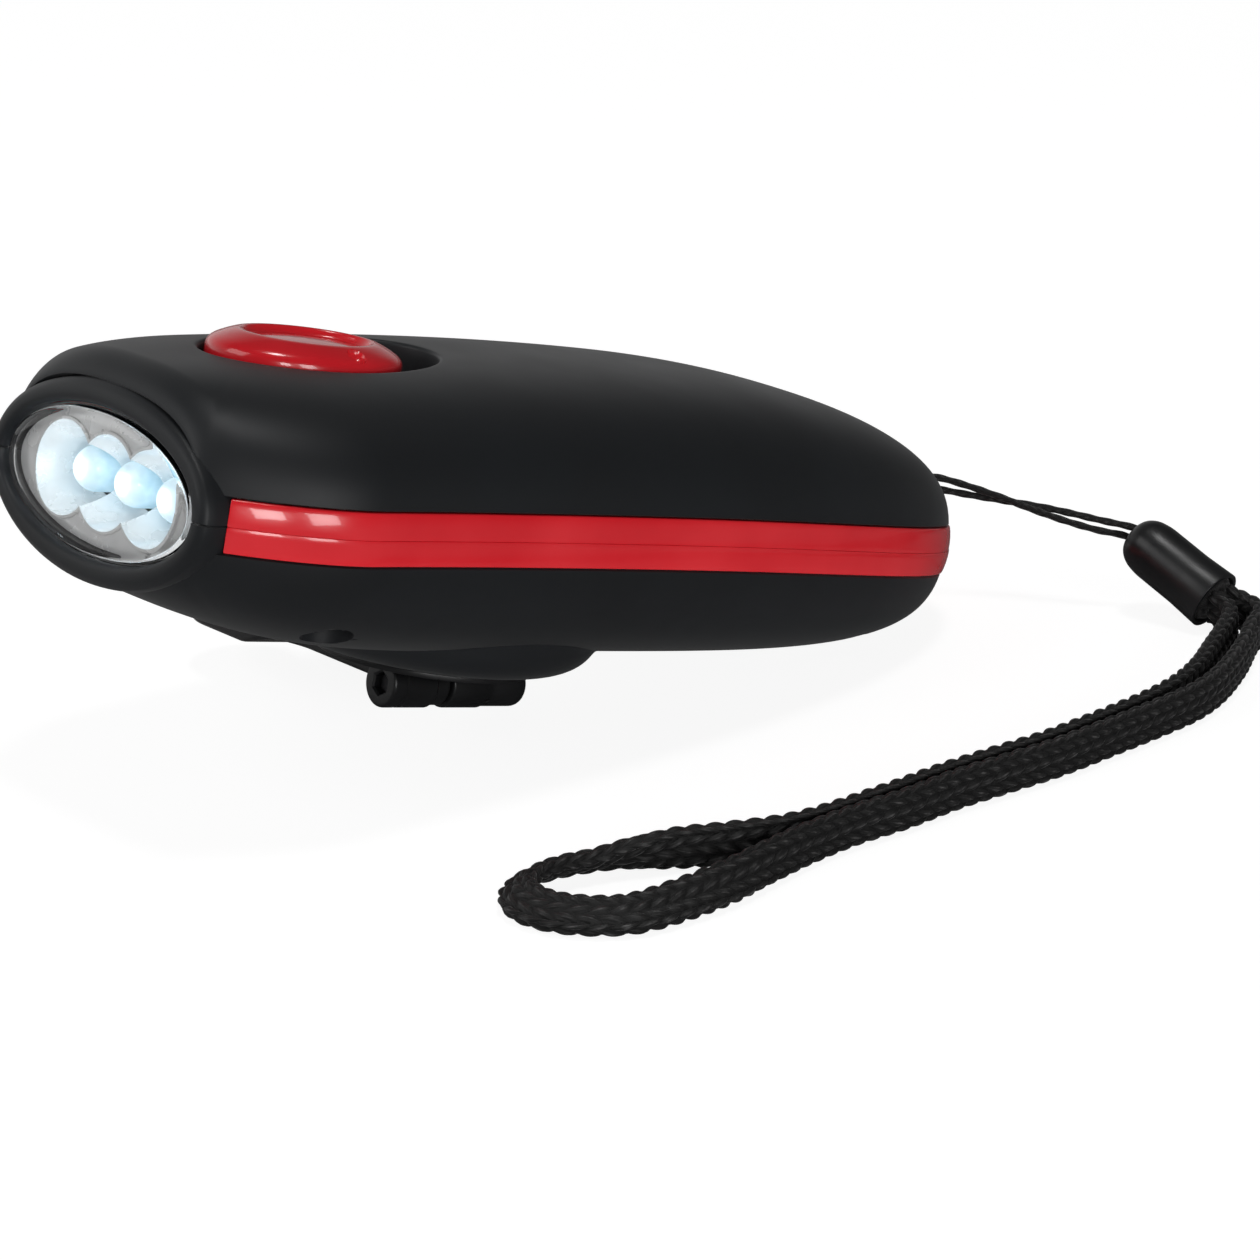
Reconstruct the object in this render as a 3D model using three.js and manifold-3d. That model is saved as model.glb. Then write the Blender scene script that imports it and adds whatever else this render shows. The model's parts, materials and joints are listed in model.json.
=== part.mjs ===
// Hand crank flashlight: two soft-touch shells with a red band, three diodes, a slide button,
// a folding crank under the belly that drives a small generator, and a wrist strap.
// Millimetres. The torch is modelled with +X from the lens to the tail, +Y to its far side and
// +Z up, with its front plane near x = 0. It is then stood on its crank hinge and its tail.
import * as THREE from 'three';
import { mergeVertices } from 'three/addons/utils/BufferGeometryUtils.js';
import Module from 'manifold-3d';

const wasm = await Module();
wasm.setup();

// Body outline
const BODY_LENGTH = 121.7;
const BODY_HALF_WIDTH = 26.1;
const BODY_TOP = 15.7;
const BODY_BOTTOM = 16.1;
const BODY_FRONT = 2.9;
const TAIL_LENGTH = 25.7;
const SHELL_WALL = 2.3;
const BROW_RADIUS = 3.4;
const CREST_RISE = 0.7;
const CREST_X = 50;
const NOSE_DROP = 0.9;
const TAIL_DROP = 3.6;
const widthShares = { nose: 0.554, peak: 0.166, nosePower: 1.89, tailPower: 3.2, tailRoot: 2 };
const topShares = { nose: 0.832, peak: 0.592, nosePower: 2.19, tailPower: 2.16, tailRoot: 2.65 };
const bottomShares = { nose: 0.506, peak: 0.326, nosePower: 2.5, tailPower: 3.62, tailRoot: 2.69 };
const sectionPowerShares = { above: 2.63, below: 2.59, tailDrop: 2.3 };

// Clearances and cuts
const GAP = 0.3;
const PART_GAP = 0.25;
const OVERRUN = 4;

// Red band round the sides
const BAND_HALF_HEIGHT = 2.82;
const BAND_DEPTH = 1.1;
const BAND_PROUD = 0.35;
const BAND_FRONT = 5.4;

// Bezel and lens
const BEZEL_HALF_WIDTH = 19.8;
const BEZEL_HALF_HEIGHT = 10.6;
const BEZEL_FRONT = 1.9;
const BEZEL_BACK = 6.6;
const BEZEL_LIP = 1;
const bezelShares = [
  [0, 0], [0.93, 0], [0.965, 0.03], [0.99, 0.12], [1, 0.3], [0.995, 0.55], [0.95, 1], [0, 1],
];
const WINDOW_HALF_WIDTH = 17.5;
const WINDOW_HALF_HEIGHT = 7.9;
const LENS_FLANGE = 0.6;
const LENS_THICKNESS = 1.2;
const LENS_STEP = 0.7;
const lensFaceShares = [[0, -1.4], [0.55, -1.4], [0.9, -1], [1, -0.6], [1, 1], [0, 1]];

// Reflector, diodes and their board
const CUP_PITCH = 7.7;
const CUP_RADIUS = 5.05;
const CUP_DEPTH = 6.2;
const cupShares = [[1, 0], [0.75, 0.25], [0.35, 0.6], [0, 0.85]];
const REFLECTOR_MARGIN = 0.6;
const LED_RADIUS = 2.5;
const LED_LENGTH = 8.6;
const LED_FLANGE = 0.45;
const LED_FLANGE_LENGTH = 1;
const LED_TIP_SETBACK = 1.3;
const LED_LEG_SIZE = 0.5;
const LED_LEG_SPREAD = 1.27;
const LED_LEG_LENGTH = 1.6;
const bulbShares = [[0, 0], [0.5, 0.13], [0.87, 0.5], [1, 1]];
const BOARD_THICKNESS = 1.6;
const LED_BOARD_HALF_WIDTH = 13;
const LED_BOARD_HALF_HEIGHT = 6;

// Slide button and its recess
const BUTTON_X = 26.6;
const BUTTON_HALF_LENGTH = 11.4;
const BUTTON_HALF_WIDTH = 8.9;
const BUTTON_RIM_HALF_LENGTH = 8.5;
const BUTTON_RIM_HALF_WIDTH = 6.5;
const BUTTON_BASE_Z = 12.75;
const BUTTON_SHOULDER_Z = 14.9;
const BUTTON_RIM_Z = 16.8;
const BUTTON_DISH_DEPTH = 0.8;
const BUTTON_RIM_WIDTH = 1;
const BUTTON_TRAVEL = 4;
const RECESS_FLOOR_Z = 12.4;
const RECESS_MARGIN = 0.9;
const STEM_LENGTH = 5;
const STEM_WIDTH = 4.2;
const LEVER_LENGTH = 2.4;
const LEVER_WIDTH = 2;
const LEVER_HEIGHT = 1.8;
const SWITCH_LENGTH = 12;
const SWITCH_WIDTH = 5.6;
const SWITCH_HEIGHT = 3.4;
const LEVER_FOOT = 1.1;

// Control board
const CONTROL_BOARD_FRONT = 19;
const CONTROL_BOARD_LENGTH = 29;
const CONTROL_BOARD_WIDTH = 21;
const CONTROL_BOARD_TOP = 4.8;
const CAPACITOR_RADIUS = 2.5;
const CAPACITOR_LENGTH = 4.6;
const BOARD_SCREW_INSET = 2.6;

// Battery cells
const CELL_RADIUS = 5.75;
const CELL_THICKNESS = 5.2;
const CELL_COUNT = 3;
const CELL_Z = -4.6;
const CRADLE_WALL = 1.2;
const CRADLE_CLEARANCE = 1.05;

// Crank hub, hinge and arm under the belly
const HUB_X = 49.4;
const BOSS_FACE_Z = -17.25;
const BOSS_RADIUS = 18.8;
const BOSS_FACE_RADIUS = 13.3;
const BOSS_DEPTH = 4.3;
const bossEdgeShares = [[0, 0], [0.22, 0.03], [0.5, 0.14], [0.76, 0.35], [0.9, 0.63], [1, 1]];
const DISC_RADIUS = 12.2;
const DISC_THICKNESS = 0.7;
const STEM_RADIUS = 3;
const BUSH_WALL = 1.1;
const HINGE_RADIUS = 2.7;
const HINGE_FRONT_REACH = 5.4;
const HINGE_SPLIT_REACH = 2.85;
const HINGE_REAR_REACH = 13.8;
const HINGE_END_ROUND = 0.8;
const PIN_RADIUS = 1;
const ARM_INSET = 0.3;
const ARM_THICKNESS = 2.3;
const ARM_LENGTH = 31;
const ARM_FLARE_START = 14;
const ARM_FLARE_LENGTH = 8;
const ARM_STEP_START = 18;
const ARM_STEP_LENGTH = 6;
const ARM_STEP_DROP = 1.5;
const KNOB_RADIUS = 6.2;
const KNOB_TOP_Z = -16.25;
const knobShares = [[0.72, 0], [0.78, 0.3], [1, 0.5], [1, 0.8], [0.9, 1]];
const knuckleEndShares = [[0, 1], [0.33, 0.33], [1, 0]];

// Gears
const GEAR_MODULE = 0.75;
const DRIVE_TEETH = 36;
const WHEEL_TEETH = 30;
const PINION_TEETH = 10;
const GEAR_THICKNESS = 2;
const GEAR_STEP = 0.5;
const DRIVE_GEAR_Z = -10.4;
const AXLE_RADIUS = 1;
const FIRST_IDLER_ANGLE = -22;
const SECOND_IDLER_ANGLE = 40;
const ROTOR_ANGLE = -15;
const HUB_POST_ANGLE = 53;
const IDLER_POST_ANGLE = -48;
const ROTOR_POST_ANGLE = 88;
const toothShares = { addendum: 0.8, dedendum: 1.1, pitchWidth: 0.44, tipWidth: 0.2, rootWidth: 0.6 };

// Generator and gear plate
const PLATE_THICKNESS = 1.5;
const PLATE_MARGIN = 3.4;
const MAGNET_RADIUS = 6.6;
const MAGNET_HEIGHT = 5.4;
const COIL_THICKNESS = 2.2;
const CAN_WALL = 1;
const POST_RADIUS = 2.3;

// Fasteners
const SCREW_RADIUS = 1.1;
const SCREW_HEAD_RADIUS = 2.3;
const SCREW_HEAD_HEIGHT = 1.6;
const SCREW_WELL_RADIUS = 2.8;
const CASE_SCREW_FRONT_X = 21;
const CASE_SCREW_FRONT_Y = 18.4;
const CASE_SCREW_REAR_INSET = 18.3;
const CASE_SCREW_REAR_Y = 9.4;
const CASE_SCREW_SEAT_Z = -5;
const CASE_SCREW_LENGTH = 12;
const CASE_POST_RADIUS = 3.2;
const SMALL_SCREW_RADIUS = 0.8;
const SMALL_SCREW_HEAD = 1.5;
const SMALL_SCREW_LENGTH = 4.5;
const screwSlotShares = { halfWidth: 0.2, halfLength: 0.625, depth: 0.5, height: 1.5 };

// Strap bar at the tail, thin loop, sleeve and wrist strap
const STRAP_HOLE_Z = 3.8;
const STRAP_HOLE_HALF_WIDTH = 1.5;
const STRAP_HOLE_HALF_HEIGHT = 1.4;
const STRAP_PIN_INSET = 7.1;
const STRAP_PIN_LENGTH = 9;
const STRAP_LUG_THICKNESS = 1.6;
const STRAP_LUG_RADIUS = 2.4;
const LOOP_DIAMETER = 0.9;
const SLEEVE_RADIUS = 3.5;
const SLEEVE_LENGTH = 13.2;
const STRAP_WIDTH = 4.5;
const STRAP_THICKNESS = 1.9;
const LEAD_DIAMETER = 1.2;

// Places of the leads inside, in the torch's own frame
const DIODE_LEAD = [[18.4, 9.9, -2], [19.6, 9.9, -1.8], [21.2, 9.9, -0.6], [22, 9.9, 1.2], [22, 9.9, 2.9]];
const BATTERY_LEAD = [[28, 8.4, -2.5], [28, 9.5, -2.2], [28.2, 10, -0.6], [28.4, 9.8, 1.4], [28.4, 9.6, 2.9]];
const COIL_LEAD = [
  [80.2, 2, 2.4], [76, 2.6, 1.6], [68, 4.2, 1], [60, 5.2, 1.2], [54, 5.3, 2.6], [50.6, 5, 3.8], [48.3, 5, 4],
];

// Places of the cords on the table, measured from the line under the lens
const SLEEVE_MOUTH = [137.5, -30.6, 3.3];
const SLEEVE_NOSE = [135.6, -19.1, 8.9];
const UPPER_STRAND = [
  [114.2, 0, 16.05], [117.6, 0, 15.3], [119.6, 0, 14.85], [121.6, -0.6, 14.35], [124, -3.2, 13.4],
  [126.4, -6.4, 12.25], [128.3, -9.5, 11.2], [130.4, -12.6, 10.2], [132.8, -15.6, 9.3], [135.5, -18.2, 8.6],
];
const LOWER_STRAND = [
  [113.9, 0, 14.75], [117.3, 0, 14], [119.3, 0.1, 13.5], [121.5, -0.4, 12.95], [124.2, -2.8, 12.3],
  [127, -5.8, 11.75], [129.5, -9, 11.3], [131.4, -12.2, 10.9], [133.3, -15.4, 10.4], [135.55, -18.7, 9.9],
];
const STRAP_ROUTE = [
  [138.75, -31.15, 2.95], [139.1, -33.4, 2.45], [138.7, -36, 2.3], [136.7, -38.6, 2.3], [133.2, -40.7, 2.3],
  [126.5, -45.4, 2.3], [118.6, -50, 2.3], [112, -52.6, 2.3], [105, -53.9, 2.3], [96, -55.1, 2.3],
  [87.4, -56.1, 2.3], [79.8, -56.3, 2.3], [72, -56.5, 2.3], [63.8, -57.4, 2.3], [56.6, -57.6, 2.3],
  [49, -58.6, 2.3], [42.6, -59.9, 2.3], [36.4, -61.2, 2.3], [29.5, -61.6, 2.3], [23.6, -61, 2.3],
  [19.6, -58, 2.3], [17.7, -54, 2.3], [18.4, -49.8, 2.3], [21.8, -46.9, 2.3], [26.4, -46.4, 2.3],
  [31.6, -47.6, 2.3], [37, -49.8, 2.3], [42.6, -52.4, 2.3], [49, -54.6, 2.3], [56.6, -55.3, 2.3],
  [63.8, -55.1, 2.3], [72, -54.3, 2.3], [79.8, -54, 2.3], [87.4, -53.8, 2.3], [96, -52.8, 2.3],
  [105, -51.4, 2.3], [112, -49.5, 2.3], [118.6, -46.4, 2.3], [125, -42.4, 2.3], [130.4, -39, 2.3],
  [134.2, -36.4, 2.3], [136.1, -34, 2.45], [136.42, -31.55, 2.95],
];

// Facets
const HULL_SIDES = 28;
const HULL_ROWS = 18;
const CAVITY_SIDES = 16;
const CAVITY_ROWS = 12;
const ROUND_SIDES = 20;
const SMALL_SIDES = 8;
const CORD_SIDES = 8;
const LOOP_STEPS = 12;
const SHORT_LEAD_STEPS = 6;
const LONG_LEAD_STEPS = 12;
const STRAP_STEPS = 54;

const colours = {
  softBlack: 0x16171a,
  hardBlack: 0x0f1011,
  red: 0xc4101c,
  clear: 0xeef4f6,
  silver: 0xc8ccce,
  steel: 0xa9adb0,
  brass: 0xb9974a,
  green: 0x1d5a34,
  white: 0xe8e6df,
  cream: 0xd9d2bd,
  copper: 0xa8582c,
  magnet: 0x3a3b3e,
  cordBlack: 0x101011,
};

// Geometry helpers
const radians = (degrees) => degrees * Math.PI / 180;

function solidOf(geometry) {
  const bare = geometry.clone();
  bare.deleteAttribute('normal');
  bare.deleteAttribute('uv');
  const merged = mergeVertices(bare);
  const mesh = new wasm.Mesh({
    numProp: 3,
    vertProperties: new Float32Array(merged.attributes.position.array),
    triVerts: new Uint32Array(merged.index.array),
  });
  return new wasm.Manifold(mesh);
}

function geometryOf(solid) {
  const mesh = solid.getMesh();
  const geometry = new THREE.BufferGeometry();
  geometry.setAttribute('position', new THREE.BufferAttribute(new Float32Array(mesh.vertProperties), 3));
  geometry.setIndex(new THREE.BufferAttribute(new Uint32Array(mesh.triVerts), 1));
  geometry.computeVertexNormals();
  return geometry;
}

function box(x0, x1, y0, y1, z0, z1) {
  const geometry = new THREE.BoxGeometry(x1 - x0, y1 - y0, z1 - z0);
  geometry.translate((x0 + x1) / 2, (y0 + y1) / 2, (z0 + z1) / 2);
  return solidOf(geometry);
}

// A cylinder between two heights along one axis, at the other two coordinates
function rod(axis, from, to, a, b, radius, sides = ROUND_SIDES) {
  const geometry = new THREE.CylinderGeometry(radius, radius, to - from, sides);
  const middle = (from + to) / 2;
  if (axis === 'x') {
    geometry.rotateZ(-Math.PI / 2);
    geometry.translate(middle, a, b);
  } else if (axis === 'y') {
    geometry.translate(a, middle, b);
  } else {
    geometry.rotateX(Math.PI / 2);
    geometry.translate(a, b, middle);
  }
  return solidOf(geometry);
}

// A turned solid about the vertical line at x, y from a profile of radius and height pairs
function turned(profile, x, y, sides = ROUND_SIDES) {
  const points = profile.map(([radius, height]) => new THREE.Vector2(radius, height));
  const geometry = new THREE.LatheGeometry(points, sides);
  geometry.rotateX(Math.PI / 2);
  geometry.translate(x, y, 0);
  return solidOf(geometry);
}

// An oval turned solid about the torch's long axis from share and x pairs
function ovalAlongX(profile, halfWidth, halfHeight, y = 0, z = 0, sides = ROUND_SIDES) {
  const points = profile.map(([share, x]) => new THREE.Vector2(share, x));
  const geometry = new THREE.LatheGeometry(points, sides);
  geometry.rotateZ(-Math.PI / 2);
  geometry.scale(1, halfWidth, halfHeight);
  geometry.translate(0, y, z);
  return solidOf(geometry);
}

// A right oval cylinder along Z from an outline, between two heights
function ovalPlate(x, y, halfLength, halfWidth, z0, z1, sides = ROUND_SIDES) {
  const geometry = new THREE.CylinderGeometry(1, 1, z1 - z0, sides);
  geometry.rotateX(Math.PI / 2);
  geometry.scale(halfLength, halfWidth, 1);
  geometry.translate(x, y, (z0 + z1) / 2);
  return solidOf(geometry);
}

function extruded(points, z0, z1) {
  const shape = new THREE.Shape(points.map(([x, y]) => new THREE.Vector2(x, y)));
  const settings = { depth: z1 - z0, bevelEnabled: false, curveSegments: SMALL_SIDES };
  const geometry = new THREE.ExtrudeGeometry(shape, settings);
  geometry.translate(0, 0, z0);
  return solidOf(geometry);
}

function join(...solids) {
  return solids.reduce((sum, solid) => sum.add(solid));
}

// Body form: one closed loft whose sections are superellipses on a bowed middle line
function profileShare(s, shares) {
  if (s < shares.peak) {
    const lead = (shares.peak - s) / shares.peak;
    return shares.nose + (1 - shares.nose) * (1 - lead ** shares.nosePower);
  }
  const run = (s - shares.peak) / (1 - shares.peak);
  return Math.max(0, 1 - run ** shares.tailPower) ** (1 / shares.tailRoot);
}

function partingHeight(x) {
  if (x < CREST_X) {
    return CREST_RISE - NOSE_DROP * ((CREST_X - x) / CREST_X) ** 2;
  }
  const run = (x - CREST_X) / (BODY_LENGTH - CREST_X);
  return CREST_RISE - TAIL_DROP * run ** sectionPowerShares.tailDrop;
}

function browHeight(x, top) {
  const lead = BODY_FRONT + BROW_RADIUS - x;
  if (lead <= 0) {
    return top;
  }
  const share = Math.sqrt(Math.max(0, 1 - (lead / BROW_RADIUS) ** 2));
  return BEZEL_HALF_HEIGHT + (top - BEZEL_HALF_HEIGHT) * share;
}

// The body's own sizes at x: half width, rise and fall from the parting line, and that line
function section(x) {
  const s = x / BODY_LENGTH;
  return {
    width: BODY_HALF_WIDTH * profileShare(s, widthShares),
    rise: browHeight(x, BODY_TOP * profileShare(s, topShares)),
    fall: BODY_BOTTOM * profileShare(s, bottomShares),
    middle: partingHeight(x),
  };
}

// A point of the body at x and an angle from straight down, drawn in by an inset
function hullPoint(x, angle, inset) {
  const sizes = section(x);
  const across = -Math.sin(angle);
  const up = -Math.cos(angle);
  const power = up > 0 ? sectionPowerShares.above : sectionPowerShares.below;
  const above = sizes.rise * (BODY_TOP - inset) / BODY_TOP;
  const below = sizes.fall * (BODY_BOTTOM - inset) / BODY_BOTTOM;
  const height = up > 0 ? above : below;
  const width = sizes.width * (BODY_HALF_WIDTH - inset) / BODY_HALF_WIDTH;
  const y = width * Math.sign(across) * Math.abs(across) ** (2 / power);
  const z = height * Math.sign(up) * Math.abs(up) ** (2 / power);
  return new THREE.Vector3(x, y, sizes.middle + z);
}

// Where the tail begins to be drawn in, and stations that lie closer together at both ends
const tailStart = BODY_LENGTH - TAIL_LENGTH;

function stationOf(row, rows) {
  const share = row <= 1 ? 0 : (1 - Math.cos(Math.PI * (row - 1) / (rows - 1))) / 2;
  return BODY_FRONT + (BODY_LENGTH - BODY_FRONT) * share;
}

// The closed body, grown or drawn in by an inset, from a front plane to the tail
function hull(inset, front, sides = HULL_SIDES, rows = HULL_ROWS) {
  const geometry = new THREE.SphereGeometry(1, sides, rows);
  const position = geometry.attributes.position;
  for (let row = 0; row <= rows; row += 1) {
    const x = Math.max(front, stationOf(row, rows));
    const tailShare = Math.max(0, (x - tailStart) / TAIL_LENGTH);
    const drawnIn = x - inset * tailShare;
    for (let side = 0; side <= sides; side += 1) {
      const index = row * (sides + 1) + side;
      const angle = 2 * Math.PI * (side % sides) / sides;
      const pole = row === 0 || row === rows;
      const point = hullPoint(x, angle, inset);
      position.setXYZ(index, drawnIn, pole ? 0 : point.y, pole ? partingHeight(x) : point.z);
    }
  }
  return solidOf(geometry);
}

// A slab that follows the parting line, between two heights above it, from a front plane
function bowedSlab(low, high, front) {
  const span = 2 * (BODY_HALF_WIDTH + OVERRUN);
  const geometry = new THREE.BoxGeometry(1, span, high - low, HULL_ROWS + 1, 1, 1);
  const position = geometry.attributes.position;
  for (let index = 0; index < position.count; index += 1) {
    const row = Math.round((position.getX(index) + 1 / 2) * (HULL_ROWS + 1));
    const inside = row > 0 && row <= HULL_ROWS;
    const end = row === 0 ? front : BODY_LENGTH + OVERRUN;
    const x = inside ? Math.max(front + row * GAP / HULL_ROWS, stationOf(row, HULL_ROWS)) : end;
    const bend = partingHeight(Math.min(Math.max(x, 0), BODY_LENGTH));
    position.setXYZ(index, x, position.getY(index), position.getZ(index) + (high + low) / 2 + bend);
  }
  return solidOf(geometry);
}

// Places worked out from the sizes above
const lensFront = BEZEL_FRONT + BEZEL_LIP + GAP;
const lensBack = lensFront + LENS_THICKNESS;
const reflectorFront = lensBack + GAP;
const reflectorBack = reflectorFront + CUP_DEPTH;
const reflectorHalfWidth = WINDOW_HALF_WIDTH - REFLECTOR_MARGIN;
const reflectorHalfHeight = WINDOW_HALF_HEIGHT - REFLECTOR_MARGIN;
const cavityFront = reflectorBack + GAP;
const ledTip = reflectorFront + LED_TIP_SETBACK;
const ledBack = ledTip + LED_LENGTH;
const ledBoardFront = ledBack + LED_LEG_LENGTH + GAP;
const cradleReach = CELL_RADIUS + GAP + CRADLE_WALL;
const cellX = ledBoardFront + BOARD_THICKNESS + CRADLE_CLEARANCE + cradleReach;
const controlBoardBottom = CONTROL_BOARD_TOP - BOARD_THICKNESS;
const switchBase = CONTROL_BOARD_TOP + GAP;
const switchTop = switchBase + SWITCH_HEIGHT;
const recessFront = BUTTON_X - BUTTON_HALF_LENGTH - RECESS_MARGIN;
const recessRear = BUTTON_X + BUTTON_HALF_LENGTH + BUTTON_TRAVEL + RECESS_MARGIN;
const recessX = (recessFront + recessRear) / 2;
const recessHalfLength = (recessRear - recessFront) / 2;
const recessHalfWidth = BUTTON_HALF_WIDTH + RECESS_MARGIN;
const recessInnerZ = RECESS_FLOOR_Z - SHELL_WALL;
const discTop = BOSS_FACE_Z - GAP;
const discBottom = discTop - DISC_THICKNESS;
const hingeZ = discBottom - GAP - HINGE_RADIUS;
const hingeFront = HUB_X - HINGE_FRONT_REACH;
const hingeSplit = HUB_X + HINGE_SPLIT_REACH;
const hingeRear = HUB_X + HINGE_REAR_REACH;
const armFront = hingeFront + ARM_INSET;
const armRear = hingeSplit - GAP / 2;
const armX = (armFront + armRear) / 2;
const armTop = discBottom - GAP - GAP / 2;
const armBottom = armTop - ARM_THICKNESS;
const padTop = armTop - ARM_STEP_DROP;
const padBottom = armBottom - ARM_STEP_DROP;
const knobBottom = padTop + GAP;
const bushRadius = STEM_RADIUS + GAP + BUSH_WALL;
const caseScrewRearX = BODY_LENGTH - CASE_SCREW_REAR_INSET;
const strapPinX = BODY_LENGTH - STRAP_PIN_INSET;
const driveTop = DRIVE_GEAR_Z + GEAR_THICKNESS;
const secondLevel = driveTop + GEAR_STEP;
const secondTop = secondLevel + GEAR_THICKNESS;
const thirdLevel = secondTop + GEAR_STEP;
const thirdTop = thirdLevel + GEAR_THICKNESS;
const plateBottom = thirdTop + GEAR_STEP;
const plateTop = plateBottom + PLATE_THICKNESS;
const magnetBottom = plateTop + GEAR_STEP;
const magnetTop = magnetBottom + MAGNET_HEIGHT;

// Gear centres, each set off from the one before by the two pitch radii
const pitchRadius = (teeth) => teeth * GEAR_MODULE / 2;

function stepFrom(centre, angle, distance) {
  const turn = radians(angle);
  return [centre[0] + distance * Math.cos(turn), centre[1] + distance * Math.sin(turn)];
}

const hubCentre = [HUB_X, 0];
const firstStep = pitchRadius(DRIVE_TEETH) + pitchRadius(PINION_TEETH);
const laterStep = pitchRadius(WHEEL_TEETH) + pitchRadius(PINION_TEETH);
const firstIdler = stepFrom(hubCentre, FIRST_IDLER_ANGLE, firstStep);
const secondIdler = stepFrom(firstIdler, SECOND_IDLER_ANGLE, laterStep);
const rotor = stepFrom(secondIdler, ROTOR_ANGLE, laterStep);

const coilRadius = MAGNET_RADIUS + GEAR_STEP;
const canInnerRadius = coilRadius + COIL_THICKNESS + GEAR_STEP;
const canRadius = canInnerRadius + CAN_WALL;

// Posts that carry the gear plate stand clear of every gear and of the generator
const driveClear = pitchRadius(DRIVE_TEETH) + GEAR_MODULE + POST_RADIUS + GAP;
const wheelClear = pitchRadius(WHEEL_TEETH) + GEAR_MODULE + POST_RADIUS + GAP;
const plateHoles = [
  stepFrom(hubCentre, HUB_POST_ANGLE, driveClear),
  stepFrom(firstIdler, IDLER_POST_ANGLE, wheelClear),
  stepFrom(rotor, ROTOR_POST_ANGLE, canRadius + POST_RADIUS),
];

// Outer body, with the bezel at the front and the round boss under the belly
function bezelSolid() {
  const depth = BEZEL_BACK - BEZEL_FRONT;
  const profile = bezelShares.map(([out, deep]) => [out, BEZEL_FRONT + deep * depth]);
  return ovalAlongX(profile, BEZEL_HALF_WIDTH, BEZEL_HALF_HEIGHT, 0, 0, HULL_SIDES);
}

function bellyBoss() {
  const flare = BOSS_RADIUS - BOSS_FACE_RADIUS;
  const edge = bossEdgeShares.map(([out, up]) => (
    [BOSS_FACE_RADIUS + out * flare, BOSS_FACE_Z + up * BOSS_DEPTH]
  ));
  const buried = BOSS_FACE_Z + 2 * BOSS_DEPTH;
  return turned([[0, BOSS_FACE_Z], ...edge, [BOSS_RADIUS, buried], [0, buried]], HUB_X, 0, HULL_SIDES);
}

const caseScrews = [
  ['case_screw_front_near', CASE_SCREW_FRONT_X, -CASE_SCREW_FRONT_Y],
  ['case_screw_front_far', CASE_SCREW_FRONT_X, CASE_SCREW_FRONT_Y],
  ['case_screw_rear_near', caseScrewRearX, -CASE_SCREW_REAR_Y],
  ['case_screw_rear_far', caseScrewRearX, CASE_SCREW_REAR_Y],
];

const boardScrews = ['near', 'far'].map((side, index) => {
  const sign = index === 0 ? -1 : 1;
  const x = CONTROL_BOARD_FRONT + CONTROL_BOARD_LENGTH - BOARD_SCREW_INSET;
  return [`board_screw_${side}`, x, sign * (CONTROL_BOARD_WIDTH / 2 - BOARD_SCREW_INSET)];
});

const bodyHull = hull(0, BODY_FRONT);
const innerHull = hull(SHELL_WALL / 2, BODY_FRONT, CAVITY_SIDES, CAVITY_ROWS);
const cavity = hull(SHELL_WALL, cavityFront, CAVITY_SIDES, CAVITY_ROWS);

function shellBody() {
  const outer = join(bodyHull, bezelSolid(), bellyBoss());
  const windowCut = ovalAlongX([
    [0, BEZEL_FRONT - OVERRUN],
    [1, BEZEL_FRONT - OVERRUN],
    [1, cavityFront + OVERRUN / 2],
    [0, cavityFront + OVERRUN / 2],
  ], WINDOW_HALF_WIDTH, WINDOW_HALF_HEIGHT, 0, 0, HULL_SIDES);
  const flangeCut = ovalAlongX([
    [0, BEZEL_FRONT + BEZEL_LIP],
    [1, BEZEL_FRONT + BEZEL_LIP],
    [1, reflectorFront],
    [0, reflectorFront],
  ], WINDOW_HALF_WIDTH + LENS_FLANGE + GAP, WINDOW_HALF_HEIGHT + LENS_FLANGE + GAP, 0, 0, HULL_SIDES);
  const seat = hull(BAND_DEPTH + GAP, BODY_FRONT);
  const edge = BAND_HALF_HEIGHT + PART_GAP;
  const groove = bowedSlab(-edge, edge, BAND_FRONT - PART_GAP).subtract(seat);
  return outer.subtract(cavity).subtract(windowCut).subtract(flangeCut).subtract(groove);
}

const wholeShell = shellBody();
const farTop = BODY_TOP + OVERRUN;
const farBottom = BODY_BOTTOM + OVERRUN;
const upperHalf = bowedSlab(PART_GAP / 2, farTop, -OVERRUN);
const lowerHalf = bowedSlab(-farBottom, -PART_GAP / 2, -OVERRUN);

function screwPost(x, y, radius, sides = SMALL_SIDES) {
  return rod('z', -BODY_BOTTOM, BODY_TOP, x, y, radius, sides).intersect(innerHull);
}

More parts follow.
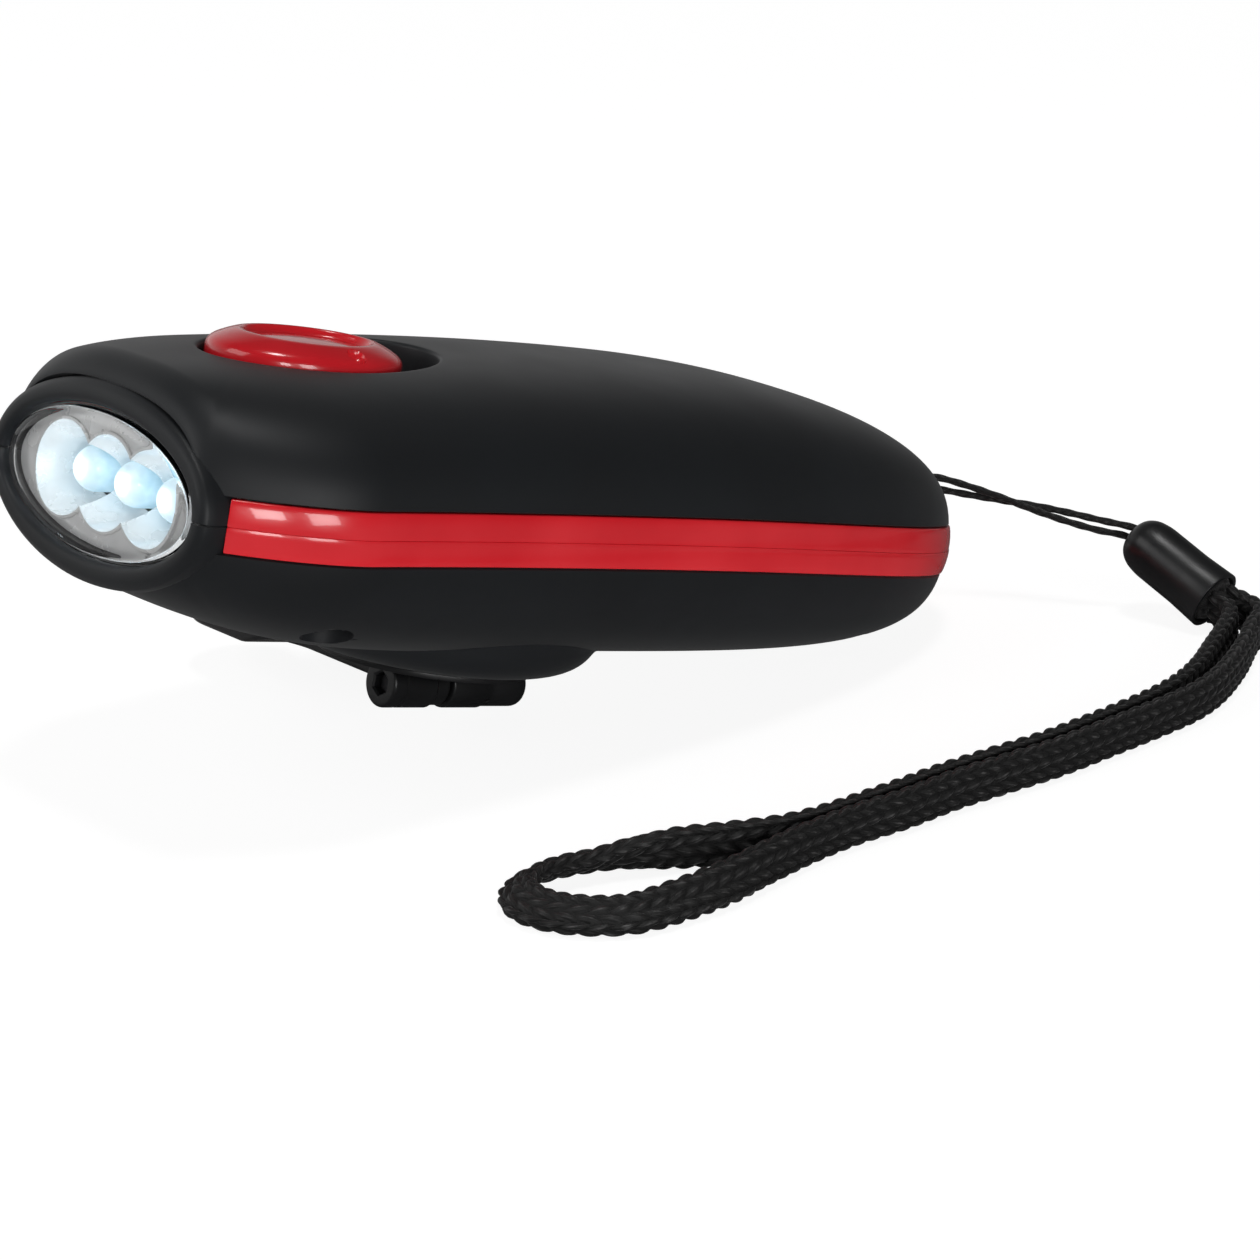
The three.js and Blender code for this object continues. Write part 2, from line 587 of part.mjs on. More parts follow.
function upperShell() {
  let shell = wholeShell.intersect(upperHalf);
  const trayHalfLength = recessHalfLength + SHELL_WALL / 2;
  const trayHalfWidth = recessHalfWidth + SHELL_WALL / 2;
  const tray = ovalPlate(recessX, 0, trayHalfLength, trayHalfWidth, recessInnerZ, BODY_TOP);
  shell = shell.add(tray.intersect(innerHull));
  for (const [, x, y] of caseScrews) {
    shell = shell.add(screwPost(x, y, CASE_POST_RADIUS).intersect(upperHalf));
  }
  for (const [, x, y] of boardScrews) {
    const post = rod('z', CONTROL_BOARD_TOP + GAP, BODY_TOP, x, y, POST_RADIUS, SMALL_SIDES);
    shell = shell.add(post.intersect(innerHull));
  }
  const bearing = rod('z', magnetTop + GEAR_STEP, BODY_TOP, rotor[0], rotor[1], POST_RADIUS, SMALL_SIDES);
  shell = shell.add(bearing.intersect(innerHull));
  const lugs = [-1, 1].map((side) => {
    const inner = side * (STRAP_PIN_LENGTH / 2 - STRAP_LUG_THICKNESS);
    const outer = side * STRAP_PIN_LENGTH / 2;
    const low = Math.min(inner, outer);
    const high = Math.max(inner, outer);
    const eye = rod('y', low, high, strapPinX, STRAP_HOLE_Z, STRAP_LUG_RADIUS, SMALL_SIDES);
    const web = box(
      strapPinX - STRAP_LUG_RADIUS, strapPinX + STRAP_LUG_RADIUS, low, high, STRAP_HOLE_Z, BODY_TOP,
    );
    return eye.add(web).intersect(innerHull);
  });
  shell = join(shell, ...lugs);
  shell = shell.subtract(ovalPlate(recessX, 0, recessHalfLength, recessHalfWidth, RECESS_FLOOR_Z, farTop));
  const slotEnd = STEM_LENGTH / 2 + GAP;
  const slotSide = STEM_WIDTH / 2 + GAP;
  shell = shell.subtract(box(
    BUTTON_X - slotEnd, BUTTON_X + BUTTON_TRAVEL + slotEnd,
    -slotSide, slotSide, recessInnerZ - OVERRUN, farTop,
  ));
  for (const [, x, y] of caseScrews) {
    const tip = CASE_SCREW_SEAT_Z + CASE_SCREW_LENGTH + GAP;
    shell = shell.subtract(rod('z', -OVERRUN, tip, x, y, SCREW_RADIUS + GAP, SMALL_SIDES));
  }
  for (const [, x, y] of boardScrews) {
    const tip = controlBoardBottom + SMALL_SCREW_LENGTH + GAP;
    const low = CONTROL_BOARD_TOP - OVERRUN;
    shell = shell.subtract(rod('z', low, tip, x, y, SMALL_SCREW_RADIUS + GAP, SMALL_SIDES));
  }
  const shaftTip = magnetTop + 2 * AXLE_RADIUS + GEAR_STEP + GAP;
  const shaftBore = rod('z', magnetTop, shaftTip, rotor[0], rotor[1], AXLE_RADIUS + GAP, SMALL_SIDES);
  const pinHalf = STRAP_PIN_LENGTH / 2 + GAP;
  const pinBore = rod('y', -pinHalf, pinHalf, strapPinX, STRAP_HOLE_Z, PIN_RADIUS + GAP, SMALL_SIDES);
  const strapHole = ovalAlongX([
    [0, strapPinX],
    [1, strapPinX],
    [1, BODY_LENGTH + OVERRUN],
    [0, BODY_LENGTH + OVERRUN],
  ], STRAP_HOLE_HALF_WIDTH, STRAP_HOLE_HALF_HEIGHT, 0, STRAP_HOLE_Z, SMALL_SIDES);
  return shell.subtract(shaftBore).subtract(pinBore).subtract(strapHole);
}

function lowerShell() {
  let shell = wholeShell.intersect(lowerHalf);
  for (const [, x, y] of caseScrews) {
    shell = shell.add(screwPost(x, y, CASE_POST_RADIUS + GAP).intersect(lowerHalf));
  }
  const seats = [
    [firstIdler, DRIVE_GEAR_Z],
    [secondIdler, secondLevel],
    [rotor, thirdLevel],
  ];
  for (const [[x, y], level] of seats) {
    const seat = rod('z', -BODY_BOTTOM, level - GEAR_STEP, x, y, POST_RADIUS, SMALL_SIDES);
    shell = shell.add(seat.intersect(innerHull));
  }
  for (const [x, y] of plateHoles) {
    const post = rod('z', -BODY_BOTTOM, plateBottom - GAP, x, y, POST_RADIUS, SMALL_SIDES);
    shell = shell.add(post.intersect(innerHull));
  }
  const collarRadius = bushRadius + GAP + BUSH_WALL;
  shell = shell.add(rod('z', BOSS_FACE_Z, DRIVE_GEAR_Z - 2 * GEAR_STEP, HUB_X, 0, collarRadius));
  shell = shell.subtract(rod('z', BOSS_FACE_Z - OVERRUN, 0, HUB_X, 0, bushRadius + GAP));
  for (const [, x, y] of caseScrews) {
    shell = shell.subtract(rod('z', -farBottom, CASE_SCREW_SEAT_Z, x, y, SCREW_WELL_RADIUS, SMALL_SIDES));
    shell = shell.subtract(rod('z', -farBottom, OVERRUN, x, y, SCREW_RADIUS + GAP, SMALL_SIDES));
  }
  for (const [[x, y], level] of seats) {
    const depth = level - GEAR_STEP - 2 * AXLE_RADIUS;
    shell = shell.subtract(rod('z', depth - GAP, 0, x, y, AXLE_RADIUS + GAP, SMALL_SIDES));
  }
  for (const [x, y] of plateHoles) {
    const tip = plateTop - SMALL_SCREW_LENGTH - GAP;
    shell = shell.subtract(rod('z', tip, 0, x, y, SMALL_SCREW_RADIUS + GAP, SMALL_SIDES));
  }
  return shell;
}

function bandHalf(low, high) {
  const ring = hull(-BAND_PROUD, BODY_FRONT).subtract(hull(BAND_DEPTH, BODY_FRONT));
  return ring.intersect(bowedSlab(low, high, BAND_FRONT));
}

// Lens: a stepped oval window with a slightly domed face
function lensSolid() {
  const wide = WINDOW_HALF_WIDTH + LENS_FLANGE;
  const tall = WINDOW_HALF_HEIGHT + LENS_FLANGE;
  const flange = ovalAlongX([
    [0, lensFront],
    [1, lensFront],
    [1, lensBack],
    [0, lensBack],
  ], wide, tall, 0, 0, HULL_SIDES);
  const profile = lensFaceShares.map(([out, step]) => [out, lensFront + step * LENS_STEP]);
  const face = ovalAlongX(profile, WINDOW_HALF_WIDTH - GAP, WINDOW_HALF_HEIGHT - GAP, 0, 0, HULL_SIDES);
  return flange.add(face);
}

const ledPlaces = [['near', -CUP_PITCH], ['middle', 0], ['far', CUP_PITCH]];

// Reflector: an oval block with three overlapping cups
function reflectorSolid() {
  let block = ovalAlongX(
    [[0, reflectorFront], [1, reflectorFront], [1, reflectorBack], [0, reflectorBack]],
    reflectorHalfWidth, reflectorHalfHeight, 0, 0, HULL_SIDES,
  );
  const bore = LED_RADIUS + GAP;
  const bowl = cupShares.map(([out, deep]) => (
    [bore + out * (CUP_RADIUS - bore), reflectorFront + deep * CUP_DEPTH]
  ));
  for (const [, y] of ledPlaces) {
    block = block.subtract(ovalAlongX([
      [0, reflectorFront - GAP],
      [CUP_RADIUS, reflectorFront - GAP],
      ...bowl,
      [bore, reflectorBack + GAP],
      [0, reflectorBack + GAP],
    ], 1, 1, y, 0));
  }
  return block;
}

function ledSolid() {
  const bulb = ovalAlongX([
    ...bulbShares.map(([out, deep]) => [out * LED_RADIUS, ledTip + deep * LED_RADIUS]),
    [LED_RADIUS, ledBack - LED_FLANGE_LENGTH],
    [LED_RADIUS + LED_FLANGE, ledBack - LED_FLANGE_LENGTH],
    [LED_RADIUS + LED_FLANGE, ledBack],
    [0, ledBack],
  ], 1, 1, 0, 0, SMALL_SIDES);
  const half = LED_LEG_SIZE / 2;
  const legs = [-1, 1].map((side) => {
    const z = side * LED_LEG_SPREAD;
    return box(ledBack - half, ledBack + LED_LEG_LENGTH, -half, half, z - half, z + half);
  });
  return join(bulb, ...legs);
}

// Slide button: an oval plate, a sloping skirt, a rim and a dished pad, with its stem below
function buttonSolid() {
  const rimOut = BUTTON_RIM_WIDTH / 2;
  const rimDown = BUTTON_RIM_WIDTH / 4;
  const rows = [
    [BUTTON_HALF_LENGTH, BUTTON_HALF_WIDTH, BUTTON_BASE_Z],
    [BUTTON_HALF_LENGTH, BUTTON_HALF_WIDTH, BUTTON_SHOULDER_Z],
    [BUTTON_RIM_HALF_LENGTH + rimOut, BUTTON_RIM_HALF_WIDTH + rimOut, BUTTON_RIM_Z - rimDown],
    [BUTTON_RIM_HALF_LENGTH, BUTTON_RIM_HALF_WIDTH, BUTTON_RIM_Z],
  ];
  const geometry = new THREE.CylinderGeometry(1, 1, 1, HULL_SIDES, rows.length - 1);
  geometry.rotateX(Math.PI / 2);
  const position = geometry.attributes.position;
  for (let index = 0; index < position.count; index += 1) {
    const row = rows[Math.round((position.getZ(index) + 1 / 2) * (rows.length - 1))];
    const x = BUTTON_X + position.getX(index) * row[0];
    position.setXYZ(index, x, position.getY(index) * row[1], row[2]);
  }
  const dish = ovalPlate(
    BUTTON_X, 0, BUTTON_RIM_HALF_LENGTH - BUTTON_RIM_WIDTH, BUTTON_RIM_HALF_WIDTH - BUTTON_RIM_WIDTH,
    BUTTON_RIM_Z - BUTTON_DISH_DEPTH, BUTTON_RIM_Z + OVERRUN,
  );
  const stemEnd = switchTop + GAP;
  const stem = box(
    BUTTON_X - STEM_LENGTH / 2, BUTTON_X + STEM_LENGTH / 2,
    -STEM_WIDTH / 2, STEM_WIDTH / 2, stemEnd, BUTTON_BASE_Z + GAP,
  );
  const fork = box(
    BUTTON_X - LEVER_LENGTH / 2 - GAP, BUTTON_X + LEVER_LENGTH / 2 + GAP, -STEM_WIDTH, STEM_WIDTH,
    stemEnd - OVERRUN, switchTop + LEVER_HEIGHT + GAP,
  );
  return solidOf(geometry).subtract(dish).add(stem.subtract(fork));
}

function leverSolid() {
  return box(
    BUTTON_X - LEVER_LENGTH / 2, BUTTON_X + LEVER_LENGTH / 2, -LEVER_WIDTH / 2, LEVER_WIDTH / 2,
    switchTop - LEVER_FOOT, switchTop + LEVER_HEIGHT,
  );
}

function switchSolid() {
  const x = BUTTON_X + BUTTON_TRAVEL / 2;
  const slotEnd = LEVER_LENGTH / 2 + GAP;
  const slotSide = LEVER_WIDTH / 2 + GAP;
  const body = box(
    x - SWITCH_LENGTH / 2, x + SWITCH_LENGTH / 2,
    -SWITCH_WIDTH / 2, SWITCH_WIDTH / 2, switchBase, switchTop,
  );
  const slot = box(
    BUTTON_X - slotEnd, BUTTON_X + BUTTON_TRAVEL + slotEnd, -slotSide, slotSide,
    switchTop - LEVER_FOOT - GAP, switchTop + OVERRUN,
  );
  return body.subtract(slot);
}

function controlBoard() {
  let board = box(
    CONTROL_BOARD_FRONT, CONTROL_BOARD_FRONT + CONTROL_BOARD_LENGTH,
    -CONTROL_BOARD_WIDTH / 2, CONTROL_BOARD_WIDTH / 2, controlBoardBottom, CONTROL_BOARD_TOP,
  );
  for (const [, x, y] of boardScrews) {
    const low = controlBoardBottom - OVERRUN;
    board = board.subtract(rod('z', low, farTop, x, y, SMALL_SCREW_RADIUS + GAP, SMALL_SIDES));
  }
  return board;
}

function capacitorSolid() {
  const x = CONTROL_BOARD_FRONT + CONTROL_BOARD_LENGTH - 2 * BOARD_SCREW_INSET;
  const base = CONTROL_BOARD_TOP + GAP;
  return rod('z', base, base + CAPACITOR_LENGTH, x, 0, CAPACITOR_RADIUS, SMALL_SIDES);
}

// A screw along Z: its head below the seat when up is true, above it otherwise
function screwSolid(x, y, seat, length, radius, headRadius, headHeight, up) {
  const way = up ? 1 : -1;
  const ends = [seat - way * headHeight, seat, seat + way * length];
  const between = (a, b, size) => rod('z', Math.min(a, b), Math.max(a, b), x, y, size, SMALL_SIDES);
  const head = between(ends[0], ends[1], headRadius);
  const shank = between(seat - way * headHeight / 2, ends[2], radius);
  const slotHeight = screwSlotShares.height * headHeight;
  const slotDepth = screwSlotShares.depth * headHeight;
  const slotLow = up ? ends[0] + slotDepth - slotHeight : ends[0] - slotDepth;
  const halfWidth = screwSlotShares.halfWidth * headRadius;
  const halfLength = screwSlotShares.halfLength * headRadius;
  const slot = box(
    x - halfWidth, x + halfWidth, y - halfLength, y + halfLength, slotLow, slotLow + slotHeight,
  );
  return head.add(shank).subtract(slot);
}

// Battery: three button cells in a row across the torch, in a cradle on the lower shell
const cellPitch = CELL_THICKNESS + GAP;

function cellSolid(index) {
  const y = (index - (CELL_COUNT - 1) / 2) * cellPitch;
  return rod('y', y - CELL_THICKNESS / 2, y + CELL_THICKNESS / 2, cellX, CELL_Z, CELL_RADIUS);
}

function cradleSolid() {
  const half = CELL_COUNT * CELL_THICKNESS / 2 + 2 * GAP;
  const block = box(
    cellX - cradleReach, cellX + cradleReach, -half - CRADLE_WALL, half + CRADLE_WALL,
    CELL_Z - cradleReach, CELL_Z,
  );
  const room = hull(SHELL_WALL + GAP, cavityFront + GAP, CAVITY_SIDES, CAVITY_ROWS);
  const nest = rod('y', -half, half, cellX, CELL_Z, CELL_RADIUS + GAP);
  const open = box(
    cellX - CELL_RADIUS / 2, cellX + CELL_RADIUS / 2, -OVERRUN - half, OVERRUN + half,
    CELL_Z - CELL_RADIUS / 2, CELL_Z + OVERRUN,
  );
  return block.intersect(room).subtract(nest).subtract(open);
}

// Crank hub: disc, stem with a hexagon for the drive gear, and the rear half of the hinge
function crankHub() {
  const disc = turned([
    [0, discBottom],
    [DISC_RADIUS - DISC_THICKNESS / 2, discBottom],
    [DISC_RADIUS, discBottom + DISC_THICKNESS / 2],
    [DISC_RADIUS, discTop],
    [0, discTop],
  ], HUB_X, 0, HULL_SIDES);
  const stemTop = DRIVE_GEAR_Z - GAP;
  const stem = rod('z', discTop - GAP, stemTop, HUB_X, 0, STEM_RADIUS);
  const hexagon = rod('z', stemTop - GAP, driveTop - GAP, HUB_X, 0, STEM_RADIUS - GAP, 6);
  const start = hingeSplit + GAP / 2;
  const knuckle = ovalAlongX([
    [0, start],
    [HINGE_RADIUS, start],
    ...knuckleEndShares.map(([inward, back]) => (
      [HINGE_RADIUS - inward * HINGE_END_ROUND, hingeRear - back * HINGE_END_ROUND]
    )),
    [0, hingeRear],
  ], 1, 1, 0, hingeZ);
  const web = box(
    start, HUB_X + DISC_RADIUS - HINGE_END_ROUND, -HINGE_RADIUS + GAP, HINGE_RADIUS - GAP,
    hingeZ, discBottom + DISC_THICKNESS / 2,
  );
  const pinEnd = hingeRear - 2 * HINGE_END_ROUND;
  const pinBore = rod('x', start - OVERRUN, pinEnd, 0, hingeZ, PIN_RADIUS + GAP, SMALL_SIDES);
  const screwLow = DRIVE_GEAR_Z - SMALL_SCREW_LENGTH;
  const screwBore = rod('z', screwLow, OVERRUN, HUB_X, 0, SCREW_RADIUS + GAP, SMALL_SIDES);
  return join(disc, stem, hexagon, knuckle, web).subtract(pinBore).subtract(screwBore);
}

// Crank arm: front half of the hinge, a flat arm that steps down and widens, and a round end
function crankArm() {
  const knuckle = ovalAlongX([
    [0, hingeFront],
    [HINGE_RADIUS - HINGE_END_ROUND / 2, hingeFront],
    [HINGE_RADIUS, hingeFront + HINGE_END_ROUND / 2],
    [HINGE_RADIUS, armRear],
    [0, armRear],
  ], 1, 1, 0, hingeZ);
  const root = box(armFront, armRear, 0, HINGE_RADIUS + 2 * GAP, armBottom, armTop);
  const side = [
    [HINGE_RADIUS + GAP, armBottom],
    [ARM_STEP_START, armBottom],
    [ARM_STEP_START + ARM_STEP_LENGTH, padBottom],
    [ARM_LENGTH, padBottom],
    [ARM_LENGTH, padTop],
    [ARM_STEP_START + ARM_STEP_LENGTH, padTop],
    [ARM_STEP_START, armTop],
    [HINGE_RADIUS + GAP, armTop],
  ];
  const shape = new THREE.Shape(side.map(([y, z]) => new THREE.Vector2(y, z)));
  const blade = new THREE.ExtrudeGeometry(shape, { depth: 2 * KNOB_RADIUS, bevelEnabled: false });
  blade.rotateX(Math.PI / 2);
  blade.rotateZ(Math.PI / 2);
  blade.translate(armX - KNOB_RADIUS, 0, 0);
  const flareEnd = ARM_FLARE_START + ARM_FLARE_LENGTH;
  const plan = extruded([
    [armFront, 0],
    [armRear, 0],
    [armRear, ARM_FLARE_START],
    [armX + KNOB_RADIUS, flareEnd],
    [armX + KNOB_RADIUS, ARM_LENGTH],
    [armX - KNOB_RADIUS, ARM_LENGTH],
    [armX - KNOB_RADIUS, flareEnd],
    [armFront, ARM_FLARE_START],
  ], padBottom - GAP, armTop + GAP);
  const end = rod('z', padBottom, padTop, armX, ARM_LENGTH, KNOB_RADIUS);
  const footBore = 2 * PIN_RADIUS + GAP;
  const cuts = [
    rod('x', hingeFront - OVERRUN, hingeFront + HINGE_END_ROUND, 0, hingeZ, PIN_RADIUS + 2 * GAP, 6),
    rod('x', hingeFront, hingeSplit + OVERRUN, 0, hingeZ, PIN_RADIUS + GAP, SMALL_SIDES),
    rod('z', padBottom - OVERRUN, padTop + OVERRUN, armX, ARM_LENGTH, PIN_RADIUS + GAP, SMALL_SIDES),
    rod('z', padBottom - OVERRUN, padBottom + PIN_RADIUS, armX, ARM_LENGTH, footBore, SMALL_SIDES),
  ];
  const arm = join(knuckle, root, solidOf(blade).intersect(plan), end);
  return cuts.reduce((rest, cut) => rest.subtract(cut), arm);
}

function knobSolid() {
  const tall = KNOB_TOP_Z - knobBottom;
  const knob = turned([
    [0, knobBottom],
    ...knobShares.map(([out, up]) => [out * KNOB_RADIUS, knobBottom + up * tall]),
    [0, KNOB_TOP_Z],
  ], armX, ARM_LENGTH);
  const farEnd = KNOB_TOP_Z + OVERRUN;
  const wellFloor = KNOB_TOP_Z - PIN_RADIUS - GAP;
  const well = rod('z', wellFloor, farEnd, armX, ARM_LENGTH, 2 * PIN_RADIUS + GAP, SMALL_SIDES);
  const bore = rod('z', knobBottom - OVERRUN, farEnd, armX, ARM_LENGTH, PIN_RADIUS + GAP, SMALL_SIDES);
  return knob.subtract(well).subtract(bore);
}

function knobPin() {
  const headRadius = 2 * PIN_RADIUS;
  const footTop = padBottom + PIN_RADIUS - GAP;
  const shank = rod('z', padBottom + GAP, KNOB_TOP_Z - GAP, armX, ARM_LENGTH, PIN_RADIUS, SMALL_SIDES);
  const foot = rod('z', padBottom, footTop, armX, ARM_LENGTH, headRadius, SMALL_SIDES);
  const head = rod('z', KNOB_TOP_Z - PIN_RADIUS, KNOB_TOP_Z, armX, ARM_LENGTH, headRadius, SMALL_SIDES);
  return join(shank, foot, head);
}

// A toothed disc about its own centre, with straight flanks that lie inside the true curve
function gearSolid(teeth, z0, z1, centre, phase) {
  const radius = pitchRadius(teeth);
  const pitch = 2 * Math.PI / teeth;
  const tip = radius + toothShares.addendum * GEAR_MODULE;
  const root = radius - toothShares.dedendum * GEAR_MODULE;
  const points = [];
  for (let tooth = 0; tooth < teeth; tooth += 1) {
    const middle = phase + tooth * pitch;
    const corners = [
      [root, -toothShares.rootWidth / 2],
      [tip, -toothShares.tipWidth / 2],
      [tip, toothShares.tipWidth / 2],
      [root, toothShares.rootWidth / 2],
    ];
    for (const [reach, share] of corners) {
      const angle = middle + share * pitch;
      points.push([centre[0] + reach * Math.cos(angle), centre[1] + reach * Math.sin(angle)]);
    }
  }
  return extruded(points, z0, z1);
}

// The phase that sets a gear's gap on the tooth of the gear before it
function meshPhase(angle, driverTeeth, driverPhase, teeth) {
  const toward = radians(angle);
  const driverPitch = 2 * Math.PI / driverTeeth;
  const offset = (toward - driverPhase) / driverPitch;
  const share = offset - Math.round(offset);
  const pitch = 2 * Math.PI / teeth;
  return toward + Math.PI + pitch / 2 + share * pitch;
}

const drivePhase = 0;
const firstPhase = meshPhase(FIRST_IDLER_ANGLE, DRIVE_TEETH, drivePhase, PINION_TEETH);
const secondPhase = meshPhase(SECOND_IDLER_ANGLE, WHEEL_TEETH, firstPhase, PINION_TEETH);
const rotorPhase = meshPhase(ROTOR_ANGLE, WHEEL_TEETH, secondPhase, PINION_TEETH);

function driveGear() {
  const hexagon = rod('z', DRIVE_GEAR_Z - OVERRUN, driveTop + OVERRUN, HUB_X, 0, STEM_RADIUS + GAP / 4, 6);
  return gearSolid(DRIVE_TEETH, DRIVE_GEAR_Z, driveTop, hubCentre, drivePhase).subtract(hexagon);
}

function idlerSolid(centre, level, phase) {
  const wheelLevel = level + GEAR_THICKNESS + GEAR_STEP;
  const pinion = gearSolid(PINION_TEETH, level, wheelLevel + GAP, centre, phase);
  const wheel = gearSolid(WHEEL_TEETH, wheelLevel, wheelLevel + GEAR_THICKNESS, centre, phase);
  const boreTop = wheelLevel + 2 * OVERRUN;
  const bore = rod('z', level - OVERRUN, boreTop, centre[0], centre[1], AXLE_RADIUS + GAP, SMALL_SIDES);
  return pinion.add(wheel).subtract(bore);
}

function idlerAxle(centre, level) {
  const low = level - GEAR_STEP - 2 * AXLE_RADIUS;
  return rod('z', low, plateTop, centre[0], centre[1], AXLE_RADIUS, SMALL_SIDES);
}

function rotorShaft() {
  const pinion = gearSolid(PINION_TEETH, thirdLevel, thirdTop, rotor, rotorPhase);
  const low = thirdLevel - GEAR_STEP - 2 * AXLE_RADIUS;
  const high = magnetTop + GEAR_STEP + 2 * AXLE_RADIUS;
  return pinion.add(rod('z', low, high, rotor[0], rotor[1], AXLE_RADIUS, SMALL_SIDES));
}

function ringSolid(inner, outer, z0, z1) {
  return turned([[inner, z0], [outer, z0], [outer, z1], [inner, z1], [inner, z0]], rotor[0], rotor[1]);
}

// Gear plate: the outline wraps round its posts and axles, with a hole for each
function convexOutline(points) {
  const sorted = [...points].sort((a, b) => a[0] - b[0] || a[1] - b[1]);
  const turn = (o, a, b) => (a[0] - o[0]) * (b[1] - o[1]) - (a[1] - o[1]) * (b[0] - o[0]);
  const half = (list) => {
    const chain = [];
    for (const point of list) {
      while (chain.length > 1 && turn(chain[chain.length - 2], chain[chain.length - 1], point) <= 0) {
        chain.pop();
      }
      chain.push(point);
    }
    return chain.slice(0, -1);
  };
  return [...half(sorted), ...half([...sorted].reverse())];
}

function gearPlate() {
  const centres = [...plateHoles, firstIdler, secondIdler];
  const rim = centres.flatMap((centre) => Array.from({ length: SMALL_SIDES }, (_, index) => (
    stepFrom(centre, 360 * index / SMALL_SIDES, PLATE_MARGIN)
  )));
  const seat = Array.from({ length: ROUND_SIDES }, (_, index) => (
    stepFrom(rotor, 360 * index / ROUND_SIDES, canRadius)
  ));
  let plate = extruded(convexOutline([...rim, ...seat]), plateBottom, plateTop);
  const bores = [
    ...plateHoles.map(([x, y]) => [x, y, SMALL_SCREW_RADIUS]),
    ...[firstIdler, secondIdler, rotor].map(([x, y]) => [x, y, AXLE_RADIUS]),
  ];
  for (const [x, y, radius] of bores) {
    const bore = rod('z', plateBottom - OVERRUN, plateTop + OVERRUN, x, y, radius + GAP, SMALL_SIDES);
    plate = plate.subtract(bore);
  }
  return plate;
}

// A smooth line whose sections stand upright, so that a flat strap keeps its edge on the table
class UprightCurve extends THREE.CatmullRomCurve3 {
  computeFrenetFrames(segments) {
    const frames = { tangents: [], normals: [], binormals: [] };
    for (let index = 0; index <= segments; index += 1) {
      const tangent = this.getTangentAt(index / segments);
      const across = new THREE.Vector3(0, 0, 1).cross(tangent).normalize();
      frames.tangents.push(tangent);
      frames.normals.push(across.clone().cross(tangent).normalize());
      frames.binormals.push(across);
    }
    return frames;
  }
}

// A flat or round cord carried along hand-placed points
function cordGeometry(points, width, thickness, steps) {
  const places = points.map(([x, y, z]) => new THREE.Vector3(x, y, z));
  const curve = new UprightCurve(places, false, 'centripetal');
  const outline = Array.from({ length: CORD_SIDES }, (_, index) => {
    const angle = 2 * Math.PI * index / CORD_SIDES;
    return new THREE.Vector2(width / 2 * Math.cos(angle), thickness / 2 * Math.sin(angle));
  });
  const settings = { steps, extrudePath: curve, curveSegments: 1 };
  return new THREE.ExtrudeGeometry(new THREE.Shape(outline), settings);
}

// The sleeve about its own axis, mouth down
function sleeveGeometry() {
  const shoulder = SLEEVE_LENGTH - SLEEVE_RADIUS;
  const nose = Array.from({ length: CORD_SIDES / 2 }, (_, index) => {
    const angle = Math.PI * (index + 1) / CORD_SIDES;
    return new THREE.Vector2(SLEEVE_RADIUS * Math.cos(angle), shoulder + SLEEVE_RADIUS * Math.sin(angle));
  });
  nose[nose.length - 1].x = 0;
  const barrel = [[0, 0], [SLEEVE_RADIUS, 0], [SLEEVE_RADIUS, shoulder]];
  const profile = barrel.map(([radius, height]) => new THREE.Vector2(radius, height));
  return new THREE.LatheGeometry([...profile, ...nose], ROUND_SIDES);
}

// Named meshes
function material(colour, roughness, metalness = 0, opacity = 1) {
  return new THREE.MeshStandardMaterial({ color: colour, roughness, metalness, opacity, transparent: opacity < 1 });
}

const finishes = {
  softTouch: () => material(colours.softBlack, 0.62),
  hardBlack: () => material(colours.hardBlack, 0.35),
  red: () => material(colours.red, 0.22),
  clear: () => material(colours.clear, 0.05, 0, 0.35),
  mirror: () => material(colours.silver, 0.18, 0.9),
  steel: () => material(colours.steel, 0.35, 1),
  brass: () => material(colours.brass, 0.35, 1),
  board: () => material(colours.green, 0.5),
  white: () => material(colours.white, 0.4),
  cream: () => material(colours.cream, 0.5),
  copper: () => material(colours.copper, 0.4, 0.8),
  magnet: () => material(colours.magnet, 0.45, 0.6),
  cord: () => material(colours.cordBlack, 0.9),
};

function piece(name, solid, finish) {
  const geometry = solid instanceof THREE.BufferGeometry ? solid : geometryOf(solid);
  const mesh = new THREE.Mesh(geometry, finishes[finish]());
  mesh.name = name;
  return mesh;
}

